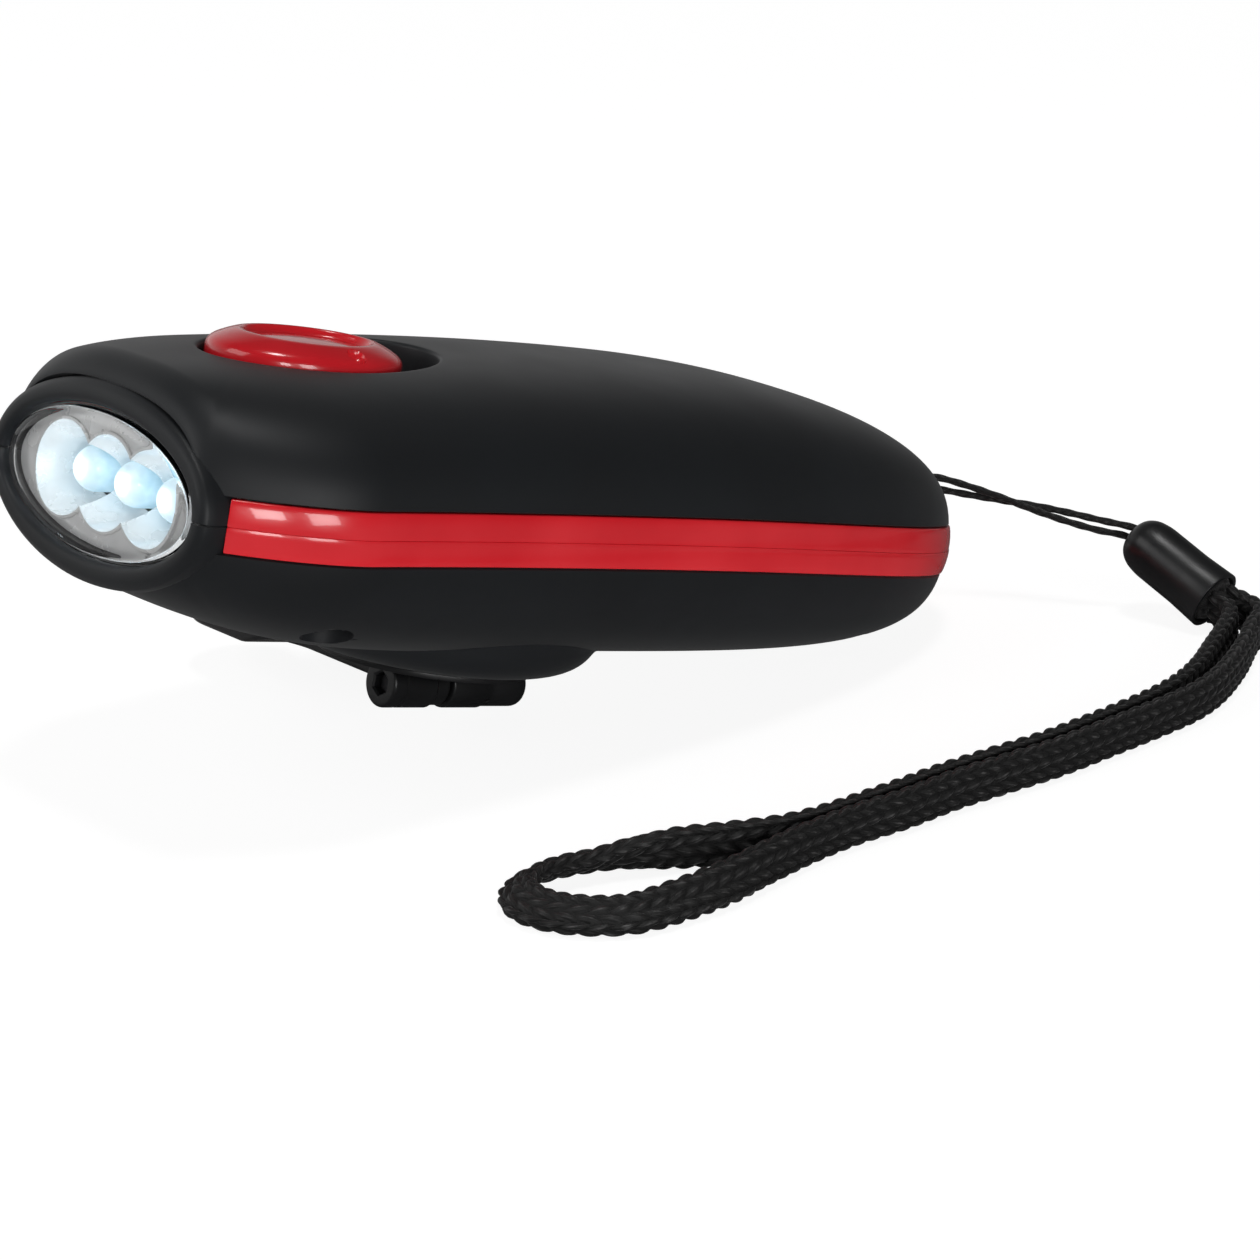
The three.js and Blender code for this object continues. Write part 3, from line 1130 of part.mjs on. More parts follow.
const torch = new THREE.Group();
torch.add(
  piece('upper_shell', upperShell(), 'softTouch'),
  piece('lower_shell', lowerShell(), 'softTouch'),
  piece('upper_band', bandHalf(PART_GAP / 2, BAND_HALF_HEIGHT), 'red'),
  piece('lower_band', bandHalf(-BAND_HALF_HEIGHT, -PART_GAP / 2), 'red'),
  piece('lens', lensSolid(), 'clear'),
  piece('reflector', reflectorSolid(), 'mirror'),
  piece('led_board', box(
    ledBoardFront, ledBoardFront + BOARD_THICKNESS,
    -LED_BOARD_HALF_WIDTH, LED_BOARD_HALF_WIDTH, -LED_BOARD_HALF_HEIGHT, LED_BOARD_HALF_HEIGHT,
  ), 'board'),
  piece('slide_button', buttonSolid(), 'red'),
  piece('switch_lever', leverSolid(), 'hardBlack'),
  piece('switch_body', switchSolid(), 'hardBlack'),
  piece('control_board', controlBoard(), 'board'),
  piece('smoothing_capacitor', capacitorSolid(), 'hardBlack'),
  piece('battery_cradle', cradleSolid(), 'hardBlack'),
  piece('crank_hub', crankHub(), 'hardBlack'),
  piece('hub_bush', rod('z', BOSS_FACE_Z, DRIVE_GEAR_Z - GEAR_STEP, HUB_X, 0, bushRadius).subtract(
    rod('z', BOSS_FACE_Z - OVERRUN, OVERRUN, HUB_X, 0, STEM_RADIUS + GAP),
  ), 'brass'),
  piece('hub_screw', screwSolid(
    HUB_X, 0, driveTop + GAP, SMALL_SCREW_LENGTH,
    SCREW_RADIUS, STEM_RADIUS + 2 * GAP, SCREW_HEAD_HEIGHT / 2, false,
  ), 'steel'),
  piece('hinge_pin', rod(
    'x', hingeFront + HINGE_END_ROUND, hingeRear - 2 * HINGE_END_ROUND - GAP,
    0, hingeZ, PIN_RADIUS, SMALL_SIDES,
  ), 'steel'),
  piece('crank_arm', crankArm(), 'hardBlack'),
  piece('crank_knob', knobSolid(), 'hardBlack'),
  piece('knob_pin', knobPin(), 'steel'),
  piece('drive_gear', driveGear(), 'white'),
  piece('first_idler_gear', idlerSolid(firstIdler, DRIVE_GEAR_Z, firstPhase), 'white'),
  piece('second_idler_gear', idlerSolid(secondIdler, secondLevel, secondPhase), 'white'),
  piece('first_idler_axle', idlerAxle(firstIdler, DRIVE_GEAR_Z), 'steel'),
  piece('second_idler_axle', idlerAxle(secondIdler, secondLevel), 'steel'),
  piece('rotor_shaft', rotorShaft(), 'steel'),
  piece('rotor_magnet', ringSolid(AXLE_RADIUS + GAP, MAGNET_RADIUS, magnetBottom, magnetTop), 'magnet'),
  piece('stator_coil', ringSolid(coilRadius, coilRadius + COIL_THICKNESS, magnetBottom, magnetTop), 'copper'),
  piece('stator_can', ringSolid(canInnerRadius, canRadius, plateTop + GAP, magnetTop), 'steel'),
  piece('gear_plate', gearPlate(), 'cream'),
  piece('strap_pin', rod(
    'y', -STRAP_PIN_LENGTH / 2, STRAP_PIN_LENGTH / 2, strapPinX, STRAP_HOLE_Z, PIN_RADIUS, SMALL_SIDES,
  ), 'steel'),
);

const leads = [
  ['diode_lead', DIODE_LEAD, SHORT_LEAD_STEPS],
  ['battery_lead', BATTERY_LEAD, SHORT_LEAD_STEPS],
  ['coil_lead', COIL_LEAD, LONG_LEAD_STEPS],
];
for (const [name, points, steps] of leads) {
  torch.add(piece(name, cordGeometry(points, LEAD_DIAMETER, LEAD_DIAMETER, steps), 'red'));
}

for (const [side, y] of ledPlaces) {
  const led = piece(`led_${side}`, ledSolid(), 'clear');
  led.position.y = y;
  torch.add(led);
}

['near', 'middle', 'far'].forEach((side, index) => {
  torch.add(piece(`battery_cell_${side}`, cellSolid(index), 'steel'));
});

for (const [name, x, y] of boardScrews) {
  torch.add(piece(name, screwSolid(
    x, y, controlBoardBottom - GAP, SMALL_SCREW_LENGTH,
    SMALL_SCREW_RADIUS, SMALL_SCREW_HEAD, SMALL_SCREW_HEAD / 2, true,
  ), 'steel'));
}

plateHoles.forEach(([x, y], index) => {
  torch.add(piece(`plate_screw_${index + 1}`, screwSolid(
    x, y, plateTop + GAP, SMALL_SCREW_LENGTH,
    SMALL_SCREW_RADIUS, SMALL_SCREW_HEAD, SMALL_SCREW_HEAD / 2, false,
  ), 'steel'));
});

for (const [name, x, y] of caseScrews) {
  torch.add(piece(name, screwSolid(
    x, y, CASE_SCREW_SEAT_Z - GAP, CASE_SCREW_LENGTH,
    SCREW_RADIUS, SCREW_HEAD_RADIUS, SCREW_HEAD_HEIGHT, true,
  ), 'steel'));
}

// The torch stands on the rear end of its hinge and on its tail: the line under both gives the
// pitch, and the bottom centre of all that stands there is the origin
const standX = hingeRear - HINGE_END_ROUND;
const standZ = hingeZ - HINGE_RADIUS;
let slope = Infinity;
for (let x = (BODY_LENGTH + CREST_X) / 2; x < BODY_LENGTH; x += GAP) {
  const sizes = section(x);
  slope = Math.min(slope, (sizes.middle - sizes.fall - standZ) / (x - standX));
}
torch.rotation.y = Math.atan(slope);
torch.updateMatrixWorld(true);
const footprint = new THREE.Box3().setFromObject(torch, true);
const centre = footprint.getCenter(new THREE.Vector3());
torch.position.set(-centre.x, -centre.y, -footprint.min.z);

// The loop cord, its sleeve and the wrist strap lie behind and beside the torch on the same table
const cords = new THREE.Group();
cords.position.set(torch.position.x, torch.position.y, 0);
const sleeve = piece('cord_sleeve', sleeveGeometry(), 'hardBlack');
const sleeveAxis = new THREE.Vector3(...SLEEVE_NOSE).sub(new THREE.Vector3(...SLEEVE_MOUTH)).normalize();
sleeve.position.set(...SLEEVE_MOUTH);
sleeve.quaternion.setFromUnitVectors(new THREE.Vector3(0, 1, 0), sleeveAxis);
cords.add(
  piece('loop_cord_upper', cordGeometry(UPPER_STRAND, LOOP_DIAMETER, LOOP_DIAMETER, LOOP_STEPS), 'cord'),
  piece('loop_cord_lower', cordGeometry(LOWER_STRAND, LOOP_DIAMETER, LOOP_DIAMETER, LOOP_STEPS), 'cord'),
  sleeve,
  piece('wrist_strap', cordGeometry(STRAP_ROUTE, STRAP_WIDTH, STRAP_THICKNESS, STRAP_STEPS), 'cord'),
);

const flashlight = new THREE.Group();
flashlight.add(torch, cords);

export default flashlight;
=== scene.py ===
# %% [markdown]
# # A hand crank flashlight
# We dress a small dynamo torch: two soft-touch black shells with a glossy red band, a clear
# oval lens over three lit diodes, a red slide button, a crank folded under the belly and a
# braided wrist strap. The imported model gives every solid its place, and this lesson builds the
# surfaces that the eye sees over them.
#
# The torch leans on its crank hinge and its tail, so nothing on it is level. Each piece is
# modelled in the torch's own frame in millimetres, x from the lens to the tail and z up
# through the button, and a last step stands it on the table in metres.

import json
from math import cos, pi, radians, sin

import bmesh
import bpy
import numpy as np
from mathutils import Matrix, Vector


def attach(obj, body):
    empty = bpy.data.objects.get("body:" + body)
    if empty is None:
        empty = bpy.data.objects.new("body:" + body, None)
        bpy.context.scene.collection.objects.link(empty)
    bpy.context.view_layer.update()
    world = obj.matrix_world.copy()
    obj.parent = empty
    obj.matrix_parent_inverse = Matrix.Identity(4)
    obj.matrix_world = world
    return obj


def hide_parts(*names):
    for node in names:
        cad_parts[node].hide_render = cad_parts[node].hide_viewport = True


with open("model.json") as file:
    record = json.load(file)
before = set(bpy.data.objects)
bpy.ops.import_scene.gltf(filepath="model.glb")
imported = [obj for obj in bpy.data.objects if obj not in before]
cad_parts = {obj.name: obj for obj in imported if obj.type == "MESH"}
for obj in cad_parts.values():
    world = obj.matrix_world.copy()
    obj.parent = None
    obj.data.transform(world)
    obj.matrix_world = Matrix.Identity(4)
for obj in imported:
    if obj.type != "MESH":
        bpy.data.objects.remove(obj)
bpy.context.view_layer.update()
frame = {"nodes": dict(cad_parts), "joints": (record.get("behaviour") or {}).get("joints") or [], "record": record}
bpy.ops.object.select_all(action="DESELECT")

# %% [markdown]
# ## The torch's own frame
# The crank's two joints say how the torch leans: the crank spins about the torch's z axis and
# folds about its x axis. The centre of the boss face, a known point of the torch, fixes the
# place. One matrix then turns torch millimetres into table metres. The cords lie on the table, so
# a second, level matrix does the same for them.

# %% The torch's matrix
MM = 0.001
HUB_X = 49.4
BOSS_FACE_Z = -17.25
TABLE_START = (-0.0591613, -0.00538234, 0)

joints = {joint["name"]: joint for joint in frame["joints"]}
torch_z = Vector(joints["crank_spin"]["axis"]).normalized()
torch_x = -Vector(joints["crank_fold"]["axis"]).normalized()
torch_y = torch_z.cross(torch_x)
turn = Matrix((torch_x, torch_y, torch_z)).transposed()
boss_centre = Vector(joints["crank_spin"]["pos_m"])
torch_start = boss_centre - turn @ Vector((HUB_X, 0, BOSS_FACE_Z)) * MM
TORCH = Matrix.Translation(torch_start) @ turn.to_4x4() @ Matrix.Scale(MM, 4)
TABLE = Matrix.Translation(TABLE_START) @ Matrix.Scale(MM, 4)
print("a torch millimetre is", round(TORCH.to_scale().x, 6), "m; the lens plane is at", torch_start)

# %% [markdown]
# ## The camera
# The photograph was taken from the lens side with a long lens, looking down by about
# 18 degrees. The camera's three directions are written out, so that it can be rebuilt exactly.

# %% Camera
CAMERA_PLACE = (-0.32750, -0.42087, 0.18336)
CAMERA_RIGHT = Vector((0.77180, -0.63587, -0.0004))
CAMERA_BACK = Vector((-0.60357, -0.73281, 0.31415))
CAMERA_LENS = 142.136

back = CAMERA_BACK.normalized()
up = back.cross(CAMERA_RIGHT).normalized()
right = up.cross(back)
camera = bpy.data.objects.new("camera", bpy.data.cameras.new("camera"))
camera.data.lens = CAMERA_LENS
camera.data.clip_start = 0.02
camera.matrix_world = Matrix.Translation(CAMERA_PLACE) @ Matrix((right, up, back)).transposed().to_4x4()
bpy.context.scene.collection.objects.link(camera)
bpy.context.scene.camera = camera
print("the camera stands", round(Vector(CAMERA_PLACE).length, 3), "m from the table's origin")

# %% [markdown]
# ## Finishes
# A finish is a small tree of nodes. To keep the trees readable we make two helpers: one adds a
# node, sets its properties and fills or links its sockets in one call, the other starts a
# material with the plain values of its Principled shader.

# %% Node helpers
def add_node(tree, kind, sockets=None, **settings):
    """Adds a node, with its properties as keywords and its sockets as values or links."""
    made = tree.nodes.new(kind)
    for key, value in settings.items():
        setattr(made, key, value)
    for key, value in (sockets or {}).items():
        if isinstance(value, bpy.types.NodeSocket):
            tree.links.new(value, made.inputs[key])
        else:
            made.inputs[key].default_value = value
    return made


def ramp(tree, mask, *stops):
    """A colour ramp through (place, colour) stops."""
    made = add_node(tree, "ShaderNodeValToRGB", {"Fac": mask})
    elements = made.color_ramp.elements
    while len(elements) < len(stops):
        elements.new(0.5)
    for element, (place, colour) in zip(elements, stops):
        element.position = place
        element.color = (*colour, 1)
    return made.outputs["Color"]


def ranged(tree, mask, low, high, start=0.0, end=1.0):
    """Maps a mask from start..end to low..high."""
    sockets = {"Value": mask, "From Min": start, "From Max": end, "To Min": low, "To Max": high}
    return add_node(tree, "ShaderNodeMapRange", sockets).outputs["Result"]


def maths(tree, operation, *values):
    """The result of a maths node for values or links."""
    return add_node(tree, "ShaderNodeMath", dict(enumerate(values)), operation=operation).outputs[0]


def noise(tree, where, scale, detail, roughness=0.5):
    """A noise mask between 0 and 1."""
    sockets = {"Vector": where, "Scale": scale, "Detail": detail, "Roughness": roughness}
    return add_node(tree, "ShaderNodeTexNoise", sockets).outputs["Fac"]


def new_finish(name, **plain):
    """A material, its tree and its Principled shader, with plain values on the shader's sockets."""
    material = bpy.data.materials.new(name)
    material.use_nodes = True
    tree = material.node_tree
    shader = tree.nodes["Principled BSDF"]
    for key, value in plain.items():
        shader.inputs[key.replace("_", " ")].default_value = value
    return material, tree, shader


def place_of(tree, source="Object", **mapping):
    """Object coordinates or the UV map, through a Mapping node where it is asked for."""
    where = add_node(tree, "ShaderNodeTexCoord").outputs[source]
    if not mapping:
        return where
    moved = add_node(tree, "ShaderNodeMapping", {"Vector": where})
    for key, value in mapping.items():
        moved.inputs[key.capitalize()].default_value = value
    return moved.outputs["Vector"]


def bump(tree, shader, height, strength, distance):
    """Feeds a height to the shader's normal."""
    made = add_node(tree, "ShaderNodeBump", {"Height": height, "Strength": strength, "Distance": distance})
    tree.links.new(made.outputs["Normal"], shader.inputs["Normal"])


finishes = {}

# %% [markdown]
# ### Effects that several finishes share
# Moulded and painted plastic is never quite even: it has a grain finer than a tenth of a
# millimetre, and wide faint patches where hands have polished it. Drawn and turned metal has fine
# lines in one direction. Both are node groups, built once and placed in every finish that
# needs them with values of its own.

# %% Shared effects
def new_group(name, inputs, outputs):
    """An empty node group with its named sockets, and its input and output sockets."""
    tree = bpy.data.node_groups.new(name, "ShaderNodeTree")
    for socket, kind, value in inputs:
        made = tree.interface.new_socket(name=socket, in_out="INPUT", socket_type=kind)
        if value is not None:
            made.default_value = value
    for socket in outputs:
        tree.interface.new_socket(name=socket, in_out="OUTPUT", socket_type="NodeSocketFloat")
    return tree, tree.nodes.new("NodeGroupInput").outputs, tree.nodes.new("NodeGroupOutput").inputs


def use_group(tree, group, sockets):
    """Places a group in a tree, its inputs as values or links, and gives its outputs."""
    return add_node(tree, "ShaderNodeGroup", sockets, node_tree=group).outputs


VECTOR, NUMBER = "NodeSocketVector", "NodeSocketFloat"
moulded, ins, outs = new_group(
    "moulded_surface",
    [("Vector", VECTOR, None), ("Grain", NUMBER, 5000), ("Patches", NUMBER, 50)],
    ["Height", "Handled"],
)
moulded.links.new(noise(moulded, ins["Vector"], ins["Grain"], 2, 0.6), outs["Height"])
patches = noise(moulded, ins["Vector"], ins["Patches"], 3)
moulded.links.new(ranged(moulded, patches, 0, 1, 0.35, 0.65), outs["Handled"])

drawn, ins, outs = new_group(
    "drawn_lines", [("Vector", VECTOR, None), ("Fineness", NUMBER, 3000)], ["Height", "Streaks"],
)
lines = noise(drawn, ins["Vector"], ins["Fineness"], 3, 0.7)
drawn.links.new(lines, outs["Height"])
drawn.links.new(ranged(drawn, lines, 0, 1, 0.3, 0.7), outs["Streaks"])
print("node groups:", [group.name for group in bpy.data.node_groups])

# %% [markdown]
# ### Soft-touch black
# The shells are sprayed with a rubbery paint. It is almost black with a cold tint, matte where
# you look straight at it and silvery at a grazing angle, which a little sheen gives. Its
# grain is so fine that it only softens the highlights.
#
# Paint, moulded plastic, acrylic and ferrite differ in their numbers, not in kind. So we write one
# function that lets colour and roughness drift between two values and adds the grain's relief,
# and use it for all of them.

# %% Soft-touch black
def moulded_finish(name, dark, light, rough, grain, patches, relief=None, **plain):
    """A finish between two colours and two roughnesses; relief is (strength, depth in metres)."""
    material, tree, shader = new_finish(name, **plain)
    effect = use_group(tree, moulded, {"Vector": place_of(tree), "Grain": grain, "Patches": patches})
    tree.links.new(ramp(tree, effect["Handled"], (0, dark), (1, light)), shader.inputs["Base Color"])
    tree.links.new(ranged(tree, effect["Handled"], *rough), shader.inputs["Roughness"])
    if relief:
        bump(tree, shader, effect["Height"], *relief)
    finishes[name] = material
    print("finish", name)
    return tree, shader


moulded_finish(
    "soft_touch_black", (0.0085, 0.0098, 0.0118), (0.011, 0.0128, 0.0152), rough=(0.5, 0.44),
    grain=5200, patches=60, relief=(0.12, 0.00003),
    Sheen_Weight=0.06, Sheen_Roughness=0.45, Specular_IOR_Level=0.42,
)

# %% [markdown]
# ### Satin black
# Crank, cord sleeve and the inner holders are bare black plastic, glossier than the paint,
# with the faint orange-peel of a moulding tool and duller patches from handling.

# %% Satin black
moulded_finish(
    "satin_black", (0.0075, 0.0078, 0.0085), (0.0115, 0.0118, 0.0125), rough=(0.31, 0.42),
    grain=1800, patches=130, relief=(0.16, 0.00005), Specular_IOR_Level=0.5,
)

# %% [markdown]
# ### Glossy red
# Band and button are moulded in a bright red and polished in the tool. A clear coat gives the
# sharp highlights of the window light, and a slow waviness bends them a little, as on any
# long thin moulding.

# %% Glossy red
moulded_finish(
    "red_gloss", (0.72, 0.013, 0.022), (0.8, 0.018, 0.028), rough=(0.2, 0.27),
    grain=260, patches=75, relief=(0.05, 0.00003),
    Coat_Weight=0.55, Coat_Roughness=0.045, Coat_IOR=1.5, Specular_IOR_Level=0.45,
)

# %% [markdown]
# ### Clear parts
# The window is clear acrylic. A glass shader alone would throw a black shadow on the diodes,
# because light does not bend through it in so few samples, so for shadow and diffuse rays we mix
# in a transparent shader. The diodes glow from inside: white at the tip, blue towards the foot, which
# a ramp along their UV map gives.

# %% Lens and diodes
def mixed_shader(tree, share, first, second):
    """A mix of two shaders."""
    return add_node(tree, "ShaderNodeMixShader", {0: share, 1: first, 2: second}).outputs["Shader"]


def lets_light_through(tree, shader, tint):
    """Mixes a transparent shader in for shadow and diffuse rays."""
    rays = add_node(tree, "ShaderNodeLightPath").outputs
    either = maths(tree, "MAXIMUM", rays["Is Shadow Ray"], rays["Is Diffuse Ray"])
    clear = add_node(tree, "ShaderNodeBsdfTransparent", {"Color": (*tint, 1)}).outputs["BSDF"]
    mixed = mixed_shader(tree, either, shader.outputs["BSDF"], clear)
    tree.links.new(mixed, tree.nodes["Material Output"].inputs["Surface"])


tree, shader = moulded_finish(
    "lens_clear", (0.96, 0.975, 0.98), (0.99, 0.995, 1.0), rough=(0.0, 0.02),
    grain=900, patches=200, relief=(0.03, 0.00001), Transmission_Weight=1.0, IOR=1.49,
)
lets_light_through(tree, shader, (0.97, 0.98, 0.985))

tree, shader = moulded_finish(
    "diode_clear", (0.42, 0.56, 0.64), (0.66, 0.78, 0.84), rough=(0.06, 0.14),
    grain=1200, patches=420, Emission_Strength=0.5, IOR=1.5, Specular_IOR_Level=0.6,
)
along = add_node(tree, "ShaderNodeSeparateXYZ", {"Vector": place_of(tree, "UV")}).outputs["Y"]
glow_stops = (0, (1, 1, 1)), (0.22, (0.8, 0.95, 1)), (0.42, (0.3, 0.55, 0.7)), (1, (0.1, 0.26, 0.36))
tree.links.new(ramp(tree, along, *glow_stops), shader.inputs["Emission Color"])

# %% [markdown]
# ### Metallised reflector
# A thin film of aluminium lies on moulded plastic. Here it looks more like bright silver paint
# than like a mirror, so less than half of it counts as metal, and it keeps the plastic's slight
# waviness.

# %% Metallised silver
moulded_finish(
    "reflector_silver", (0.8, 0.79, 0.785), (0.87, 0.86, 0.85), rough=(0.2, 0.32),
    grain=2400, patches=330, relief=(0.05, 0.00002), Metallic=0.4,
)

# %% [markdown]
# ### Metals
# Screws, pins and cell cases are zinc plated steel with fine lines from drawing, the hinge pin is
# blackened as painted shade for the bottom of its hole, the bush is turned brass and the coil is
# wound of enamelled copper. Stretching the coordinates of a noise gives the drawn lines; bands
# across the torch's height give the turns of wire, whose colour is darkened between the turns as
# painted shade.

# %% Metals
TORCH_TILT = (0, radians(-12.465), 0)


def metal_finish(name, dark, light, rough, stretch, fineness):
    """A metal with fine lines in one direction."""
    material, tree, shader = new_finish(name, Metallic=1.0)
    where = place_of(tree, rotation=TORCH_TILT, scale=stretch)
    effect = use_group(tree, drawn, {"Vector": where, "Fineness": fineness})
    tree.links.new(ramp(tree, effect["Streaks"], (0, dark), (1, light)), shader.inputs["Base Color"])
    tree.links.new(ranged(tree, effect["Streaks"], *rough), shader.inputs["Roughness"])
    bump(tree, shader, effect["Height"], 0.12, 0.00003)
    finishes[name] = material
    print("finish", name)


metal_finish("steel", (0.46, 0.465, 0.47), (0.64, 0.64, 0.645), (0.24, 0.38), (1, 1, 0.12), 3200)
# Near-black steel for the hinge pin: painted shade at the bottom of its hole.
metal_finish("pin_painted_shade", (0.02, 0.02, 0.022), (0.045, 0.045, 0.048), (0.3, 0.42), (0.12, 1, 1), 3000)
metal_finish("brass", (0.56, 0.4, 0.15), (0.74, 0.57, 0.27), (0.22, 0.34), (0.1, 0.1, 1), 3600)

material, tree, shader = new_finish("coil_copper", Metallic=0.85, Coat_Weight=0.5, Coat_Roughness=0.12)
wire_sockets = {"Scale": 700, "Distortion": 0.8, "Detail": 2, "Detail Scale": 1.5}
wire_sockets["Vector"] = place_of(tree, rotation=TORCH_TILT)
wire = add_node(tree, "ShaderNodeTexWave", wire_sockets, bands_direction="Z").outputs["Fac"]
# Painted shade: the copper darkens to near black in the grooves between the turns of wire.
copper = ramp(tree, wire, (0, (0.16, 0.045, 0.015)), (0.45, (0.5, 0.19, 0.07)), (1, (0.66, 0.3, 0.13)))
tree.links.new(copper, shader.inputs["Base Color"])
tree.links.new(ranged(tree, wire, 0.42, 0.24), shader.inputs["Roughness"])
bump(tree, shader, wire, 0.7, 0.0001)
finishes["coil_copper"] = material

# %% [markdown]
# ### Gears, plate, magnet, leads and boards
# The inner parts show when the case is opened: natural acetal gears, a cream gear plate, a
# sintered magnet with dark pores, glossy insulation and a green board whose copper tracks
# shimmer through the lacquer.

# %% Inner plastics
for name, dark, light, rough, grain, patch_scale, strength, metallic in (
    ("gear_white", (0.74, 0.72, 0.66), (0.84, 0.83, 0.79), (0.36, 0.48), 1500, 160, 0.12, 0),
    ("gear_plate_cream", (0.55, 0.5, 0.39), (0.66, 0.62, 0.5), (0.42, 0.56), 1300, 90, 0.2, 0),
    ("magnet_grey", (0.035, 0.035, 0.038), (0.12, 0.12, 0.13), (0.4, 0.62), 2600, 900, 0.5, 0.5),
    ("lead_red", (0.4, 0.012, 0.012), (0.55, 0.03, 0.025), (0.22, 0.34), 700, 300, 0.15, 0),
):
    moulded_finish(name, dark, light, rough, grain, patch_scale, (strength, 0.00005), Metallic=metallic)

material, tree, shader = new_finish("board_green", Coat_Weight=0.6, Coat_Roughness=0.12)
effect = use_group(tree, moulded, {"Vector": place_of(tree), "Grain": 900, "Patches": 260})
track_sockets = {"Scale": 260, "Mortar Size": 0.05, "Mortar Smooth": 0.3, "Brick Width": 0.9}
track_sockets["Vector"] = place_of(tree, rotation=TORCH_TILT)
tracks = add_node(tree, "ShaderNodeTexBrick", track_sockets, offset=0.35).outputs["Fac"]
mask = maths(tree, "MULTIPLY", tracks, effect["Handled"])
green = ramp(tree, mask, (0, (0.012, 0.1, 0.042)), (0.5, (0.03, 0.2, 0.08)), (1, (0.09, 0.3, 0.12)))
tree.links.new(green, shader.inputs["Base Color"])
tree.links.new(ranged(tree, mask, 0.34, 0.24), shader.inputs["Roughness"])
bump(tree, shader, mask, 0.3, 0.00004)
finishes["board_green"] = material

# %% [markdown]
# ### Braided nylon
# Cord and strap are black nylon. Plies and stitches are modelled, so the finish adds the fine
# filaments of each yarn, which run slanting along the cord, and painted light: a paler colour on
# each stitch's crest as a painted glint, and near black in the grooves as painted shade. Two node
# groups make the two masks. The pattern follows the UV map, u along the cord and v round it, so
# that on the strap the crests fall on the modelled stitches.

# %% Braided nylon
STITCH_LEAN = 0.55
filaments, ins, outs = new_group(
    "yarn_filaments",
    [("Vector", VECTOR, None), ("Filaments", NUMBER, 5), ("Slant", NUMBER, 0.7)],
    ["Height", "PaintedGlint"],
)
parts = add_node(filaments, "ShaderNodeSeparateXYZ", {"Vector": ins["Vector"]}).outputs
zigzag = maths(filaments, "PINGPONG", parts["Y"], 1.0)
phase = maths(filaments, "ADD", zigzag, maths(filaments, "MULTIPLY", parts["X"], ins["Slant"]))
turns = maths(filaments, "MULTIPLY", maths(filaments, "MULTIPLY", phase, ins["Filaments"]), 2 * pi)
height = ranged(filaments, maths(filaments, "SINE", turns), 0, 1, -1, 1)
stray = ranged(filaments, noise(filaments, ins["Vector"], 2.3, 4, 0.65), 0, 1, 0.42, 0.72)
filaments.links.new(height, outs["Height"])
# The second output is a painted glint: the filament relief thinned by noise, which pales the colour.
filaments.links.new(maths(filaments, "MULTIPLY", height, stray), outs["PaintedGlint"])

leaves, ins, outs = new_group(
    "stitch_leaves", [("Vector", VECTOR, None), ("Lean", NUMBER, STITCH_LEAN)], ["Crest"],
)
parts = add_node(leaves, "ShaderNodeSeparateXYZ", {"Vector": ins["Vector"]}).outputs
inside = maths(leaves, "FRACT", parts["Y"])
odd = maths(leaves, "MODULO", maths(leaves, "FLOOR", parts["Y"]), 2.0)
turned_way = maths(leaves, "MULTIPLY", ranged(leaves, inside, -0.5, 0.5), ranged(leaves, odd, 1, -1))
leant = maths(leaves, "MULTIPLY_ADD", turned_way, ins["Lean"], parts["X"])
along = maths(leaves, "FRACT", maths(leaves, "MULTIPLY_ADD", odd, 0.5, leant))
humps = [maths(leaves, "SINE", ranged(leaves, share, 0, pi)) for share in (inside, along)]
leaves.links.new(maths(leaves, "MULTIPLY", *humps), outs["Crest"])


def braid_finish(name, repeats, count, slant):
    """Black nylon yarn whose UV map is repeated (along, round) times, with count filaments a stitch."""
    material, tree, shader = new_finish(
        name, Sheen_Weight=0.12, Sheen_Roughness=0.35, Specular_IOR_Level=0.5,
    )
    where = place_of(tree, "UV", scale=(*repeats, 1))
    effect = use_group(tree, filaments, {"Vector": where, "Filaments": count, "Slant": slant})
    crest = use_group(tree, leaves, {"Vector": where, "Lean": STITCH_LEAN})["Crest"]
    # Painted light: the colour is pale on each stitch's crest as a painted glint and near black in the grooves as
    # painted shade.
    lit = maths(tree, "MULTIPLY", ranged(tree, effect["PaintedGlint"], 0.45, 1), crest)
    stops = (0, (0.0022, 0.0021, 0.0021)), (0.4, (0.008, 0.0077, 0.0077)), (0.85, (0.085, 0.083, 0.083))
    tree.links.new(ramp(tree, lit, *stops), shader.inputs["Base Color"])
    tree.links.new(ranged(tree, lit, 0.72, 0.26), shader.inputs["Roughness"])
    bump(tree, shader, effect["Height"], 0.5, 0.0001)
    return material


finishes["cord_black"] = braid_finish("cord_black", (60, 4), 4, 0.6)
print("finishes:", sorted(finishes))

# %% [markdown]
# ### Dress the imported solids
# Every imported node names its slot in the record. The nodes that stay in view get the same
# finishes as the new pieces, and so do the hidden ones, so that none is left plain. The
# hinge pin gets a near-black steel instead, as painted shade, so that it stays dark at the bottom of its hole.

# %% Dress the imported solids
for row in frame["record"]["subparts"]:
    # The hinge pin's near-black steel is painted shade for its hole.
    name = "pin_painted_shade" if row["node"] == "hinge_pin" else row["material_slot"]
    for material_slot in frame["nodes"][row["node"]].material_slots:
        material_slot.material = finishes[name]

# %% [markdown]
# ## Wrapping a grid
# Most surfaces here are smooth shells, so each one starts as Blender's own grid primitive and is
# wrapped into place: every vertex knows its column and its row, and a small function says where
# that vertex lies. The grid brings its UV map along, its doubled vertices are merged and its
# faces are turned outwards.

# %% Wrap and stand
def select_only(piece):
    """Makes a piece the active one and the only one selected."""
    bpy.ops.object.select_all(action="DESELECT")
    bpy.context.view_layer.objects.active = piece
    piece.select_set(True)


